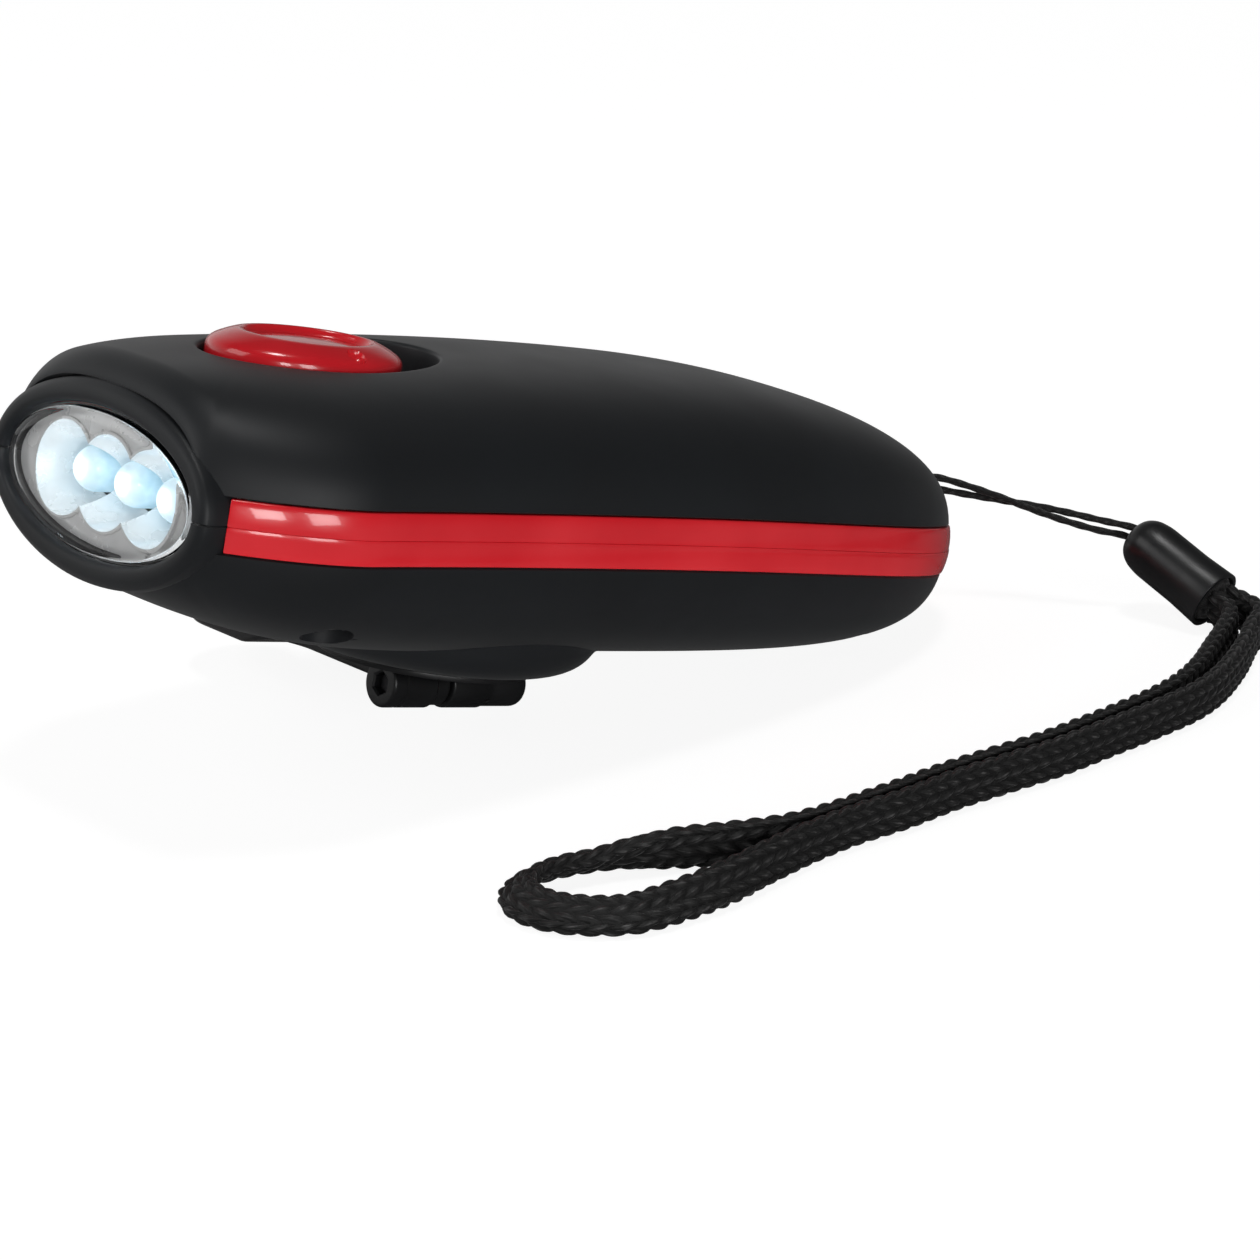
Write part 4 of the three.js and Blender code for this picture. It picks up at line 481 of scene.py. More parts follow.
def finish_mesh(piece, smooth_angle=40, merge=0.004):
    """Merges doubles, turns the faces outwards and smooths the gentle edges."""
    bpy.ops.object.mode_set(mode="EDIT")
    bpy.ops.mesh.select_all(action="SELECT")
    bpy.ops.mesh.remove_doubles(threshold=merge)
    bpy.ops.mesh.normals_make_consistent(inside=False)
    bpy.ops.object.mode_set(mode="OBJECT")
    bpy.ops.object.shade_smooth_by_angle(angle=radians(smooth_angle))
    return piece


def wrapped_grid(name, columns, rows, place, smooth_angle=40, merge=0.004):
    """A grid of columns x rows faces; place(column, row) gives the points of its vertices."""
    bpy.ops.object.select_all(action="DESELECT")
    bpy.ops.mesh.primitive_grid_add(x_subdivisions=columns, y_subdivisions=rows, size=1)
    piece = bpy.context.object
    piece.name = piece.data.name = name
    count = len(piece.data.vertices)
    flat = np.zeros(count * 3)
    piece.data.vertices.foreach_get("co", flat)
    shares = flat.reshape(-1, 3) + 0.5
    column = np.rint(shares[:, 0] * columns).astype(int)
    row = np.rint(shares[:, 1] * rows).astype(int)
    piece.data.vertices.foreach_set("co", place(column, row).reshape(-1))
    return finish_mesh(piece, smooth_angle, merge)


def stand(piece, body, slot, *nodes, frame_of=TORCH, finish=None):
    """Stands a piece on the table, with its finish and its body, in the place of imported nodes."""
    piece.data.transform(frame_of)
    piece.data.update()
    piece.data.materials.clear()
    piece.data.materials.append(finish or finishes[slot])
    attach(piece, body)
    if nodes:
        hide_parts(*nodes)
    print(piece.name, len(piece.data.polygons), "faces on", body)
    return piece


# %% [markdown]
# ## Turned shapes
# Rings, pins, domes and cups are turned on a lathe: a profile of (radius, height) pairs is
# wrapped round the z axis. A helper rounds the profile's corners first, because no real edge is
# sharp, and another cuts or joins two pieces with a boolean.

# %% Turned
def rounded_profile(corners, radius, steps=4):
    """A profile with its inner corners rounded to a radius."""
    points = [Vector(corners[0])]
    for before, corner, after in zip(corners, corners[1:], corners[2:]):
        here = Vector(corner)
        to_before, to_after = Vector(before) - here, Vector(after) - here
        reach = min(radius, to_before.length * 0.48, to_after.length * 0.48)
        start, end = here + to_before.normalized() * reach, here + to_after.normalized() * reach
        for step in range(steps + 1):
            share = step / steps
            points.append(start * (1 - share) ** 2 + here * (2 * share * (1 - share)) + end * share ** 2)
    points.append(Vector(corners[-1]))
    return np.array([tuple(point) for point in points])


def turned(name, profile, sides=64, smooth_angle=40):
    """A surface of revolution about z through (radius, height) pairs."""
    profile = np.asarray(profile, float)

    def place(column, row):
        angle = 2 * pi * column / sides
        radius, height = profile[row, 0], profile[row, 1]
        return np.stack([radius * np.cos(angle), radius * np.sin(angle), height], -1)

    return wrapped_grid(name, sides, len(profile) - 1, place, smooth_angle)


def posed(piece, matrix):
    """Moves the mesh of a piece by a matrix in its own millimetres."""
    piece.data.transform(matrix)
    return piece


def cut(piece, tool, operation="DIFFERENCE"):
    """Applies a boolean with a tool piece, which is used up."""
    select_only(piece)
    modifier = piece.modifiers.new("cut", "BOOLEAN")
    modifier.operation = operation
    modifier.solver = "EXACT"
    modifier.object = tool
    bpy.ops.object.modifier_apply(modifier=modifier.name)
    bpy.data.objects.remove(tool)
    return piece


# %% [markdown]
# ## The body's form
# The case is an egg in plan whose cross sections are soft rectangles, called superellipses, on
# a gently bowed parting line. These few functions give its width and height at any x, so that
# skins, band and boss all lie on one form.

# %% Body form
BODY_LENGTH = 121.7
BODY_HALF_WIDTH = 26.1
BODY_TOP = 15.7
BODY_BOTTOM = 16.1
BODY_FRONT = 2.9
BROW_RADIUS = 3.4
BEZEL_HALF_WIDTH = 19.8
BEZEL_HALF_HEIGHT = 10.6
CREST_X = 50
CREST_RISE = 0.7
NOSE_DROP = 0.9
TAIL_DROP = 3.6
TAIL_DROP_POWER = 2.3
width_shares = dict(nose=0.554, peak=0.166, nose_power=1.89, tail_power=3.2, tail_root=2)
top_shares = dict(nose=0.832, peak=0.592, nose_power=2.19, tail_power=2.16, tail_root=2.65)
bottom_shares = dict(nose=0.506, peak=0.326, nose_power=2.5, tail_power=3.62, tail_root=2.69)
POWER_ABOVE = 2.63
POWER_BELOW = 2.59


def profile_share(s, shares):
    """Share of the full reach at a share s of the length: a rise to the peak, then a round tail."""
    peak = shares["peak"]
    lead = np.clip((peak - s) / peak, 0, None)
    front = shares["nose"] + (1 - shares["nose"]) * (1 - lead ** shares["nose_power"])
    run = np.clip((s - peak) / (1 - peak), 0, 1)
    return np.where(s < peak, front, (1 - run ** shares["tail_power"]) ** (1 / shares["tail_root"]))


def parting_height(x):
    """Height of the bowed parting line."""
    front = CREST_RISE - NOSE_DROP * ((CREST_X - x) / CREST_X) ** 2
    run = np.clip((x - CREST_X) / (BODY_LENGTH - CREST_X), 0, 1)
    return np.where(x < CREST_X, front, CREST_RISE - TAIL_DROP * run ** TAIL_DROP_POWER)


def brow_height(x, top):
    """Rounds the hull's front edge down to the bezel."""
    lead = np.clip(BODY_FRONT + BROW_RADIUS - x, 0, BROW_RADIUS)
    return BEZEL_HALF_HEIGHT + (top - BEZEL_HALF_HEIGHT) * np.sqrt(1 - (lead / BROW_RADIUS) ** 2)


def half_width(x):
    """Half width of the hull at x."""
    return BODY_HALF_WIDTH * profile_share(x / BODY_LENGTH, width_shares)


def rise(x):
    """Height of the hull's top over the parting line."""
    return brow_height(x, BODY_TOP * profile_share(x / BODY_LENGTH, top_shares))


def fall(x):
    """Depth of the hull's bottom under the parting line."""
    return BODY_BOTTOM * profile_share(x / BODY_LENGTH, bottom_shares)


def height_at(x, y, side):
    """Height of the hull over its parting line at a plan point, for side 1 above or -1 below."""
    reach, power = (rise(x), POWER_ABOVE) if side > 0 else (fall(x), POWER_BELOW)
    across = np.abs(y) / np.maximum(half_width(x), 1e-6)
    return reach * np.clip(1 - across ** power, 0, None) ** (1 / power)


stations = np.linspace(0, BODY_LENGTH, 200)
print("the body is", round(2 * half_width(stations).max(), 1), "mm wide at its widest")

# %% [markdown]
# ## Edge lines of the shells
# Each shell ends at the red band, 3 mm above or below the parting line, and at the front behind
# the bezel. We find that edge in plan: at every x the half width at which the hull has just
# that height. Points are then spread evenly along it, so that no face gets stretched.

# %% Edge lines
BEFORE_TAIL_X = 80.0


def width_at_height(x, height, side):
    """Half width of the hull at x where it stands at a height over or under the parting line."""
    reach, power = (rise(x), POWER_ABOVE) if side > 0 else (fall(x), POWER_BELOW)
    share = np.clip(1 - (height / np.maximum(reach, 1e-6)) ** power, 0, None)
    return half_width(x) * share ** (1 / power)


def tail_x(height, side):
    """The x at which the hull's middle line comes down to a height."""
    low, high = BEFORE_TAIL_X, BODY_LENGTH
    for _ in range(50):
        middle = (low + high) / 2
        reach = rise(np.array(middle)) if side > 0 else fall(np.array(middle))
        low, high = (middle, high) if reach > height else (low, middle)
    return low


def evenly(line, count, carried=None):
    """Evenly spaced points along a line, and its length; carried values are spread with them."""
    length = np.concatenate([[0], np.cumsum(np.linalg.norm(np.diff(line, axis=0), axis=1))])
    wanted = np.linspace(0, length[-1], count)
    values = line if carried is None else np.concatenate([line, carried], 1)
    return np.stack([np.interp(wanted, length, column) for column in values.T], -1), length[-1]


def edge_line(height, side, front, columns, closed_front=True):
    """Evenly spaced plan points round the hull at a height, from the front left round the tail."""
    last = tail_x(height, side)
    x = front + (last - front) * np.sin(np.linspace(0, 1, 4000) * pi / 2)
    y = width_at_height(x, height, side)
    y[-1] = 0
    near = np.stack([x, -y], -1)
    far = np.stack([x, y], -1)[::-1]
    line = np.concatenate([near, far[1:]])
    if closed_front:
        across = np.linspace(y[0], -y[0], 400)[1:]
        line = np.concatenate([line, np.stack([np.full_like(across, front), across], -1)])
    return evenly(line, columns + 1)


SHELL_EDGE_HEIGHT = 3.07
EDGE_COLUMNS = 240
shell_edge, shell_edge_length = edge_line(SHELL_EDGE_HEIGHT, 1, BODY_FRONT, EDGE_COLUMNS)
print("the upper shell's edge is", round(shell_edge_length, 1), "mm long")

# %% [markdown]
# ## A shell skin
# A skin runs in straight plan lines from an inner oval, the button's recess above or the
# boss below, out to the shell's edge. Rows are spaced by the true length along the
# surface, so the steep sides get as many as the flat crown. Two more rows turn in at the edge
# and give the shell its visible thickness.

# %% Skin helper
EDGE_LIP = 1.6
LIP_ROWS = ((0.12, 0.08), (EDGE_LIP, 0.1))


def raised(plan, height):
    """Plan points with a height, one for all or one for each."""
    return np.column_stack([plan, np.broadcast_to(height, len(plan))])


def spread_rows(inner, outer, height_of, count, dense=500):
    """Points from inner to outer plan points, evenly spaced along the surface height_of."""
    share = np.sin(np.linspace(0, 1, dense) * pi / 2)[None, :, None]
    plan = inner[:, None, :] * (1 - share) + outer[:, None, :] * share
    z = height_of(plan[..., 0], plan[..., 1])
    lines = np.concatenate([plan, z[..., None]], -1)
    return np.stack([evenly(line, count + 1)[0] for line in lines])


def blended_angles(edge, x, squash, radial_share):
    """Angles round an inner oval at x, between the way to each edge point and an even spread."""
    radial = np.unwrap(np.arctan2(edge[:, 1] / squash, edge[:, 0] - x))
    even = np.linspace(radial[0], radial[0] + 2 * pi, len(edge))
    return radial * radial_share + even * (1 - radial_share)


def lip_rows(end, edge, side):
    """The rows that turn in at a shell's edge, for side 1 above or -1 below."""
    along = np.roll(edge, -1, axis=0) - np.roll(edge, 1, axis=0)
    along[0] = along[-1] = edge[1] - edge[-2]
    along /= np.linalg.norm(along, axis=1)[:, None]
    into = np.stack([-along[:, 1], along[:, 0]], -1)
    rows = [raised(end[:, :2] + into * reach, end[:, 2] - side * drop) for reach, drop in LIP_ROWS]
    return np.stack(rows, 1)


def skin(name, table, smooth_angle=35):
    """A wrapped grid from a table of points, columns x rows."""
    columns, rows = table.shape[0] - 1, table.shape[1] - 1
    return wrapped_grid(name, columns, rows, lambda column, row: table[column, row], smooth_angle)

# %% [markdown]
# ## The upper shell
# The thumb button slides in an oval recess with a flat floor, upright walls and a small
# rounded rim. Seen in plan the recess is the inner oval of the skin.

# %% Upper shell
RECESS_X = 28.6
RECESS_HALF_LENGTH = 14.3
RECESS_HALF_WIDTH = 9.8
RECESS_FLOOR_Z = 12.4
RIM_ROUND = 0.45
FLOOR_ROUND = 0.5
UPPER_ROWS = 84


def recess_points(angle, grow=0):
    """Plan points round the recess, grown by a margin."""
    x = RECESS_X + (RECESS_HALF_LENGTH + grow) * np.cos(angle)
    return np.stack([x, (RECESS_HALF_WIDTH + grow) * np.sin(angle)], -1)


def upper_height(x, y):
    """Height of the upper skin at a plan point."""
    return parting_height(x) + height_at(x, y, 1)


def recess_rows(angle, top):
    """Rows over the recess's floor, its rounded foot, its wall and its rounded rim."""
    middle = np.array([RECESS_X, 0])
    rows = []
    for share in (0.0, 0.25, 0.5, 0.75, 0.9, 0.965):
        rows.append(raised(middle + (recess_points(angle) - middle) * share, RECESS_FLOOR_Z))
    for turn_angle in np.linspace(0, pi / 2, 5)[1:]:
        plan = recess_points(angle, -FLOOR_ROUND * (1 - sin(turn_angle)))
        rows.append(raised(plan, RECESS_FLOOR_Z + FLOOR_ROUND * (1 - cos(turn_angle))))
    wall_foot = RECESS_FLOOR_Z + FLOOR_ROUND
    for share in (0.35, 0.7):
        rows.append(raised(recess_points(angle), wall_foot * (1 - share) + top * share))
    for turn_angle in np.linspace(0, pi / 2, 6)[:-1]:
        plan = recess_points(angle, RIM_ROUND * (1 - cos(turn_angle)))
        rows.append(raised(plan, top + RIM_ROUND * sin(turn_angle)))
    return np.stack(rows, 1)


def upper_table():
    """Columns round the upper shell and rows from the recess out to the edge."""
    angle = blended_angles(shell_edge, RECESS_X, squash=1.2, radial_share=0.5)
    rim = recess_points(angle, RIM_ROUND)
    recess = recess_rows(angle, upper_height(rim[:, 0], rim[:, 1]) - RIM_ROUND)
    body = spread_rows(rim, shell_edge, upper_height, UPPER_ROWS)
    return np.concatenate([recess, body, lip_rows(body[:, -1], shell_edge, 1)], 1)


upper_shell = skin("upper_shell_skin", upper_table())

# %% [markdown]
# ### Strap hole
# The loop cord comes out of a small round hole in the tail. A cylinder along the torch is crossed
# with the skin. What lies inside the circle is taken away and the cylinder's inner part
# stays as the hole's wall.

# %% Strap hole
HOLE_RADIUS = 1.45
HOLE_Z = 3.8
HOLE_BOTTOM_X = 114.6
HOLE_DEPTH = 12


def open_for_crossing(shell):
    """Opens a shell for editing with nothing selected, so that only new geometry is selected."""
    select_only(shell)
    bpy.ops.object.mode_set(mode="EDIT")
    bpy.ops.mesh.select_all(action="DESELECT")


def cross_and_clear(shell, is_gone):
    """Crosses the selected tool with the shell and deletes the faces whose middle is_gone."""
    bpy.ops.mesh.intersect(mode="SELECT_UNSELECT", separate_mode="CUT", solver="EXACT")
    bpy.ops.object.mode_set(mode="OBJECT")
    mesh = bmesh.new()
    mesh.from_mesh(shell.data)
    gone = [face for face in mesh.faces if is_gone(face.calc_center_median())]
    bmesh.ops.delete(mesh, geom=gone, context="FACES")
    mesh.to_mesh(shell.data)
    mesh.free()
    finish_mesh(shell, 35)
    return len(gone)


def in_bore(off, radius, past_floor, is_outside):
    """Whether a face goes: it lies in the bore's circle, or on the bore's wall outside the skin."""
    if off > radius * 1.02 or past_floor:
        return False
    return off < radius * 0.985 or is_outside()


def clears_hole(middle):
    """Whether a face of the crossed upper shell goes."""
    off = Vector((middle.y, middle.z - HOLE_Z)).length
    return in_bore(
        off, HOLE_RADIUS, middle.x < HOLE_BOTTOM_X + 0.01,
        lambda: middle.z > float(upper_height(np.array(middle.x), np.array(middle.y))) + 0.01,
    )


open_for_crossing(upper_shell)
bpy.ops.mesh.primitive_cylinder_add(
    vertices=48, radius=HOLE_RADIUS, depth=HOLE_DEPTH, end_fill_type="NGON",
    location=(HOLE_BOTTOM_X + HOLE_DEPTH / 2, 0, HOLE_Z), rotation=(0, radians(90), 0),
)
print("the strap hole takes", cross_and_clear(upper_shell, clears_hole), "faces away")
stand(upper_shell, "case", "soft_touch_black", "upper_shell")

# %% [markdown]
# ## The lower shell
# Under the belly stands a round boss with a softly rounded edge, on which the crank turns. The
# skin starts at the boss's centre, goes over that edge and blends into the belly.

# %% Lower shell
BOSS_FACE_RADIUS = 13.3
BOSS_RADIUS = 18.8
BOSS_DEPTH = 4.3
SKIRT_SLOPE = 9
BLEND = 0.7
LOWER_ROWS = 72
BELLY_START_RADIUS = 19.45
face_radii = np.linspace(0, BOSS_FACE_RADIUS, 5)
edge_radii = np.linspace(13.9, 17, 7)
skirt_radii = np.linspace(17.2, 19.3, 18)


def boss_height(radius):
    """Height of the boss's surface at a radius from the crank's axis."""
    share = np.clip((radius - BOSS_FACE_RADIUS) / (BOSS_RADIUS - BOSS_FACE_RADIUS), 0, 1)
    edge = BOSS_DEPTH * (1 - np.sqrt(1 - share ** 2))
    return BOSS_FACE_Z + edge + SKIRT_SLOPE * np.clip(radius - BOSS_RADIUS, 0, None)


def lower_height(x, y):
    """Height of the lower skin at a plan point, where boss and belly blend."""
    body = parting_height(x) - height_at(x, y, -1)
    boss = boss_height(np.hypot(x - HUB_X, y))
    mix = np.clip(0.5 + 0.5 * (body - boss) / BLEND, 0, 1)
    return body * (1 - mix) + boss * mix - BLEND * mix * (1 - mix)


def lower_table():
    """Columns round the lower shell and rows from the boss's centre out to the edge."""
    edge, _ = edge_line(SHELL_EDGE_HEIGHT, -1, BODY_FRONT, EDGE_COLUMNS)
    angle = blended_angles(edge, HUB_X, squash=1, radial_share=0.45)
    way = np.stack([np.cos(angle), np.sin(angle)], -1)
    centre = np.array([HUB_X, 0.0])
    rows = []
    for radius in np.concatenate([face_radii, edge_radii, skirt_radii]):
        plan = centre + way * radius
        rows.append(raised(plan, lower_height(plan[:, 0], plan[:, 1])))
    body = spread_rows(centre + way * BELLY_START_RADIUS, edge, lower_height, LOWER_ROWS)
    return np.concatenate([np.stack(rows, 1), body, lip_rows(body[:, -1], edge, -1)], 1)


lower_shell = skin("lower_shell_skin", lower_table())

# %% [markdown]
# ### Screw wells
# Four screws hold the case from below, each at the bottom of a deep round well. A cylinder is
# crossed with the skin, what lies inside the circle is taken away, and the cylinder's upper
# part stays as the well's wall.

# %% Screw wells
WELL_RADIUS = 2.8
WELL_SEAT_Z = -5
WELL_DEPTH = 20
WELL_PLACES = ((21, -18.4), (21, 18.4), (103.4, -9.4), (103.4, 9.4))


def sink_well(shell, x, y):
    """Cuts a round well into the underside of a shell."""

    def clears_well(middle):
        off = Vector((middle.x - x, middle.y - y)).length
        return in_bore(
            off, WELL_RADIUS, middle.z > WELL_SEAT_Z - 0.01,
            lambda: middle.z < float(lower_height(np.array(middle.x), np.array(middle.y))) - 0.02,
        )

    open_for_crossing(shell)
    bpy.ops.mesh.primitive_cylinder_add(
        vertices=48, radius=WELL_RADIUS, depth=WELL_DEPTH, end_fill_type="NGON",
        location=(x, y, WELL_SEAT_Z - WELL_DEPTH / 2),
    )
    return cross_and_clear(shell, clears_well)


for place in WELL_PLACES:
    print("the well at", place, "takes", sink_well(lower_shell, *place), "faces away")
stand(lower_shell, "case", "soft_touch_black", "lower_shell")

# %% [markdown]
# ## The red band
# A hard glossy band in two halves covers the joint of the shells. Each half is one long strip
# whose section is given as (how proud, how high) pairs off the parting line. At every height the
# strip follows the hull at that height, so it leans with the body. The lower half stands a trifle
# prouder than the upper one, which gives the fine bright step along the parting line.

# %% Red band
BAND_FRONT = 5.4
BAND_COLUMNS = 360
END_CAP = ((0.0, 1.0), (0.06, 0.99), (0.11, 0.965), (0.14, 0.93), (0.14, 0.0))
band_shoulder = ((0.11, 2.73), (0.02, 2.8), (-0.1, 2.82), (-0.9, 2.82), (-0.9, 0.004))
band_profiles = {
    1: [
        (-0.9, 0.004), (0.3, 0.004), (0.325, 0.02), (0.335, 0.06), (0.33, 0.7), (0.29, 1.5), (0.22, 2.2),
        (0.15, 2.62), *band_shoulder,
    ],
    -1: [
        (-0.9, 0.004), (0.34, 0.004), (0.385, 0.018), (0.405, 0.06), (0.39, 0.7), (0.33, 1.5), (0.24, 2.2),
        (0.16, 2.62), *band_shoulder,
    ],
}


def drawn_in(base, out, height, side):
    """How far the hull has drawn in from its widest line at a height, along -out in plan."""
    near, far = np.zeros(len(base)), np.full(len(base), 8.0)
    for _ in range(40):
        middle = (near + far) / 2
        spot = base - out * middle[:, None]
        under = height_at(spot[:, 0], spot[:, 1], side) < height
        near, far = np.where(under, middle, near), np.where(under, far, middle)
    return near


def band_table(side):
    """Columns along the hull's widest line and rows round the band's section."""
    base, _ = edge_line(0.0, side, BAND_FRONT, BAND_COLUMNS, closed_front=False)
    along = np.gradient(base, axis=0)
    along /= np.linalg.norm(along, axis=1)[:, None]
    out = np.stack([along[:, 1], -along[:, 0]], -1)
    rows = []
    for proud, height in band_profiles[side]:
        plan = base + out * (proud - drawn_in(base, out, height, side))[:, None]
        rows.append(raised(plan, parting_height(base[:, 0]) + side * height))
    table = np.stack(rows, 1)
    caps = []
    for end, way in ((0, -along[0]), (-1, along[-1])):
        section, centre = table[end], table[end].mean(0)
        caps.append([centre + (section - centre) * scale + [*(way * reach), 0] for reach, scale in END_CAP])
    return np.concatenate([np.array(caps[0][:0:-1]), table, np.array(caps[1][1:])])


upper_band = skin("upper_band_skin", band_table(1), 30)
stand(upper_band, "case", "red_gloss", "upper_band")
lower_band = skin("lower_band_skin", band_table(-1), 30)
stand(lower_band, "case", "red_gloss", "lower_band")

# %% [markdown]
# ## Bezel
# A rounded black ring frames the lens. It belongs to the shells, so it is split where they part:
# we make the whole ring twice, bisect each and keep the upper half of one and the lower half
# of the other.

# %% Bezel ring
WINDOW_HALF_WIDTH = 17.5
WINDOW_HALF_HEIGHT = 7.9
OVAL_SIDES = 128
BEZEL_SEAM_Z = -0.05
SEAM = 0.22
window_oval = (WINDOW_HALF_WIDTH, WINDOW_HALF_HEIGHT)
bezel_oval = (BEZEL_HALF_WIDTH, BEZEL_HALF_HEIGHT)
bezel_corners = [
    (0, 6.4), (0, 2.35), (0.16, 1.9), (0.62, 1.95), (0.93, 2.5), (1.0, 3.4),
    (0.995, 4.6), (0.96, 6.6), (0.3, 6.6), (0, 6.4),
]
bezel_section = rounded_profile(bezel_corners, 0.6, 5)


def oval_ring(name, section, inner, outer, sides=OVAL_SIDES, smooth_angle=40):
    """A ring about the x axis: each (share, x) row lies between an inner and an outer oval."""

    def place(column, row):
        angle = -2 * pi * column / sides
        share, x = section[row, 0], section[row, 1]
        y = (inner[0] + (outer[0] - inner[0]) * share) * np.cos(angle)
        z = (inner[1] + (outer[1] - inner[1]) * share) * np.sin(angle)
        return np.stack([x, y, z], -1)

    return wrapped_grid(name, sides, len(section) - 1, place, smooth_angle)


def kept_side(piece, height, keep_above):
    """Bisects a piece at a height, keeps one side and closes the cut."""
    select_only(piece)
    bpy.ops.object.mode_set(mode="EDIT")
    bpy.ops.mesh.select_all(action="SELECT")
    bpy.ops.mesh.bisect(
        plane_co=(0, 0, height), plane_no=(0, 0, 1), use_fill=True,
        clear_inner=keep_above, clear_outer=not keep_above,
    )
    bpy.ops.object.mode_set(mode="OBJECT")
    return finish_mesh(piece, 40, 0.0005)


seam_top, seam_bottom = BEZEL_SEAM_Z + SEAM / 2, BEZEL_SEAM_Z - SEAM / 2
for name, height, keep_above in (("upper_bezel", seam_top, True), ("lower_bezel", seam_bottom, False)):
    half_ring = oval_ring(name, bezel_section, window_oval, bezel_oval)
    stand(kept_side(half_ring, height, keep_above), "case", "soft_touch_black")

# %% [markdown]
# ### Bezel tongue
# Real shells don't just meet: a tongue on one half reaches into the other, so that no light
# passes the seam. A thinner ring inside the bezel is cut down to a short piece at either end of
# the seam.

# %% Bezel tongue
TONGUE_REACH = 1.2
tongue_corners = [(0.25, 6.2), (0.25, 3.0), (0.5, 2.6), (0.8, 3.2), (0.8, 6.2), (0.25, 6.2)]
tongue = oval_ring("bezel_tongue", rounded_profile(tongue_corners, 0.1, 2), window_oval, bezel_oval)
kept_side(tongue, BEZEL_SEAM_Z - TONGUE_REACH, True)
kept_side(tongue, BEZEL_SEAM_Z + TONGUE_REACH, False)
stand(tongue, "case", "soft_touch_black")

# %% [markdown]
# ## Lens
# The window is one clear oval disc, flat in the middle, with a polished rounded edge in front
# and a flange behind the bezel that holds it. A closed disc refracts as the real one does.

# %% Lens
LENS_FRONT = 2.15
LENS_CLEARANCE = 0.25
lens_corners = [
    (0, LENS_FRONT), (0.9, LENS_FRONT + 0.03), (0.955, LENS_FRONT + 0.2), (0.985, LENS_FRONT + 0.62),
    (0.985, 3.1), (1.03, 3.1), (1.03, 3.8), (0.95, 3.8), (0.93, 3.5), (0, 3.5),
]
lens_oval = (WINDOW_HALF_WIDTH - LENS_CLEARANCE, WINDOW_HALF_HEIGHT - LENS_CLEARANCE)
lens = oval_ring("lens_window", rounded_profile(lens_corners, 0.22, 4), (0, 0), lens_oval, smooth_angle=30)
stand(lens, "case", "lens_clear", "lens")

# %% [markdown]
# ## Reflector
# Behind the lens lies a bright plate with three overlapping cups. We start from an oval slab,
# add a thin raised rim round each cup and cut the cups out as paraboloids.

# %% Reflector
REFLECTOR_FRONT = 4.5
REFLECTOR_BACK = 10.5
REFLECTOR_OVAL = (16.4, 6.85)
CUP_PITCH = 7.7
CUP_RADIUS = 5.05
CUP_DEPTH = 6.2
CUP_FLOOR_RADIUS = 2.65
CUP_RIM_WIDTH = 0.35
CUP_RIM_HEIGHT = 0.28
CUP_SIDES = 80
ABOUT_X = Matrix.Rotation(radians(90), 4, "Y")
cup_places = (-CUP_PITCH, 0.0, CUP_PITCH)


def along_x(piece, x, y, z=0):
    """Lays a piece that was turned about z along x, its height 0 at x and growing to the tail."""
    return posed(piece, Matrix.Translation((x, y, z)) @ ABOUT_X)


plate_corners = [(0, REFLECTOR_FRONT), (1, REFLECTOR_FRONT), (1, REFLECTOR_BACK), (0, REFLECTOR_BACK)]
plate_section = rounded_profile(plate_corners, 0.15, 2)
reflector = oval_ring("reflector_cups", plate_section, (0, 0), REFLECTOR_OVAL, sides=96)
rim_radius = CUP_RADIUS + CUP_RIM_WIDTH
rim_corners = [(0, 0.4), (rim_radius, 0.4), (rim_radius, -CUP_RIM_HEIGHT), (0, -CUP_RIM_HEIGHT)]
run = np.linspace(0, 1, 14)
bowl = CUP_FLOOR_RADIUS + (CUP_RADIUS - CUP_FLOOR_RADIUS) * np.sqrt(1 - run)
cup_section = [(0, -2), (CUP_RADIUS, -2), *zip(bowl, run * CUP_DEPTH), (0, CUP_DEPTH)]
for centre in cup_places:
    rim = turned("cup_rim", rounded_profile(rim_corners, 0.12, 3), CUP_SIDES)
    cut(reflector, along_x(rim, REFLECTOR_FRONT, centre), "UNION")
for centre in cup_places:
    cut(reflector, along_x(turned("cup", cup_section, CUP_SIDES), REFLECTOR_FRONT, centre))
finish_mesh(reflector, 30)
stand(reflector, "case", "reflector_silver", "reflector")

# %% [markdown]
# ## Diodes
# Each diode is a clear epoxy dome of 5 mm on a thin flange. The lit chip inside makes the
# whole dome glow, so the dome itself gives off light.

# %% Diodes
LED_RADIUS = 2.5
LED_TIP = 6.0
LED_LENGTH = 8.4
LED_FLANGE = 0.45
dome = [(LED_RADIUS * sin(pi / 2 * k / 8), LED_RADIUS * (1 - cos(pi / 2 * k / 8))) for k in range(9)]
flange_radius = LED_RADIUS + LED_FLANGE
led_corners = [
    (LED_RADIUS, LED_RADIUS), (LED_RADIUS, LED_LENGTH - 1), (flange_radius, LED_LENGTH - 1),
    (flange_radius, LED_LENGTH), (0, LED_LENGTH),
]
led_profile = np.concatenate([dome, rounded_profile(led_corners, 0.1, 2)[1:]])
for name, centre in zip(("led_near", "led_middle", "led_far"), cup_places):
    diode = along_x(turned(f"{name}_dome", led_profile, 40), LED_TIP, centre)
    stand(diode, "case", "diode_clear", name)

# %% [markdown]
# ## Slide button
# The button is an oval red cap. From an upright foot its skirt curves in to a raised rounded rim,
# and inside the rim lies a slightly domed pad for the thumb. Its rows are ovals that shrink and
# rise from the foot to the pad. A small dimple is sunk into the skirt, and a stem with a fork
# reaches down to the lever of the switch.

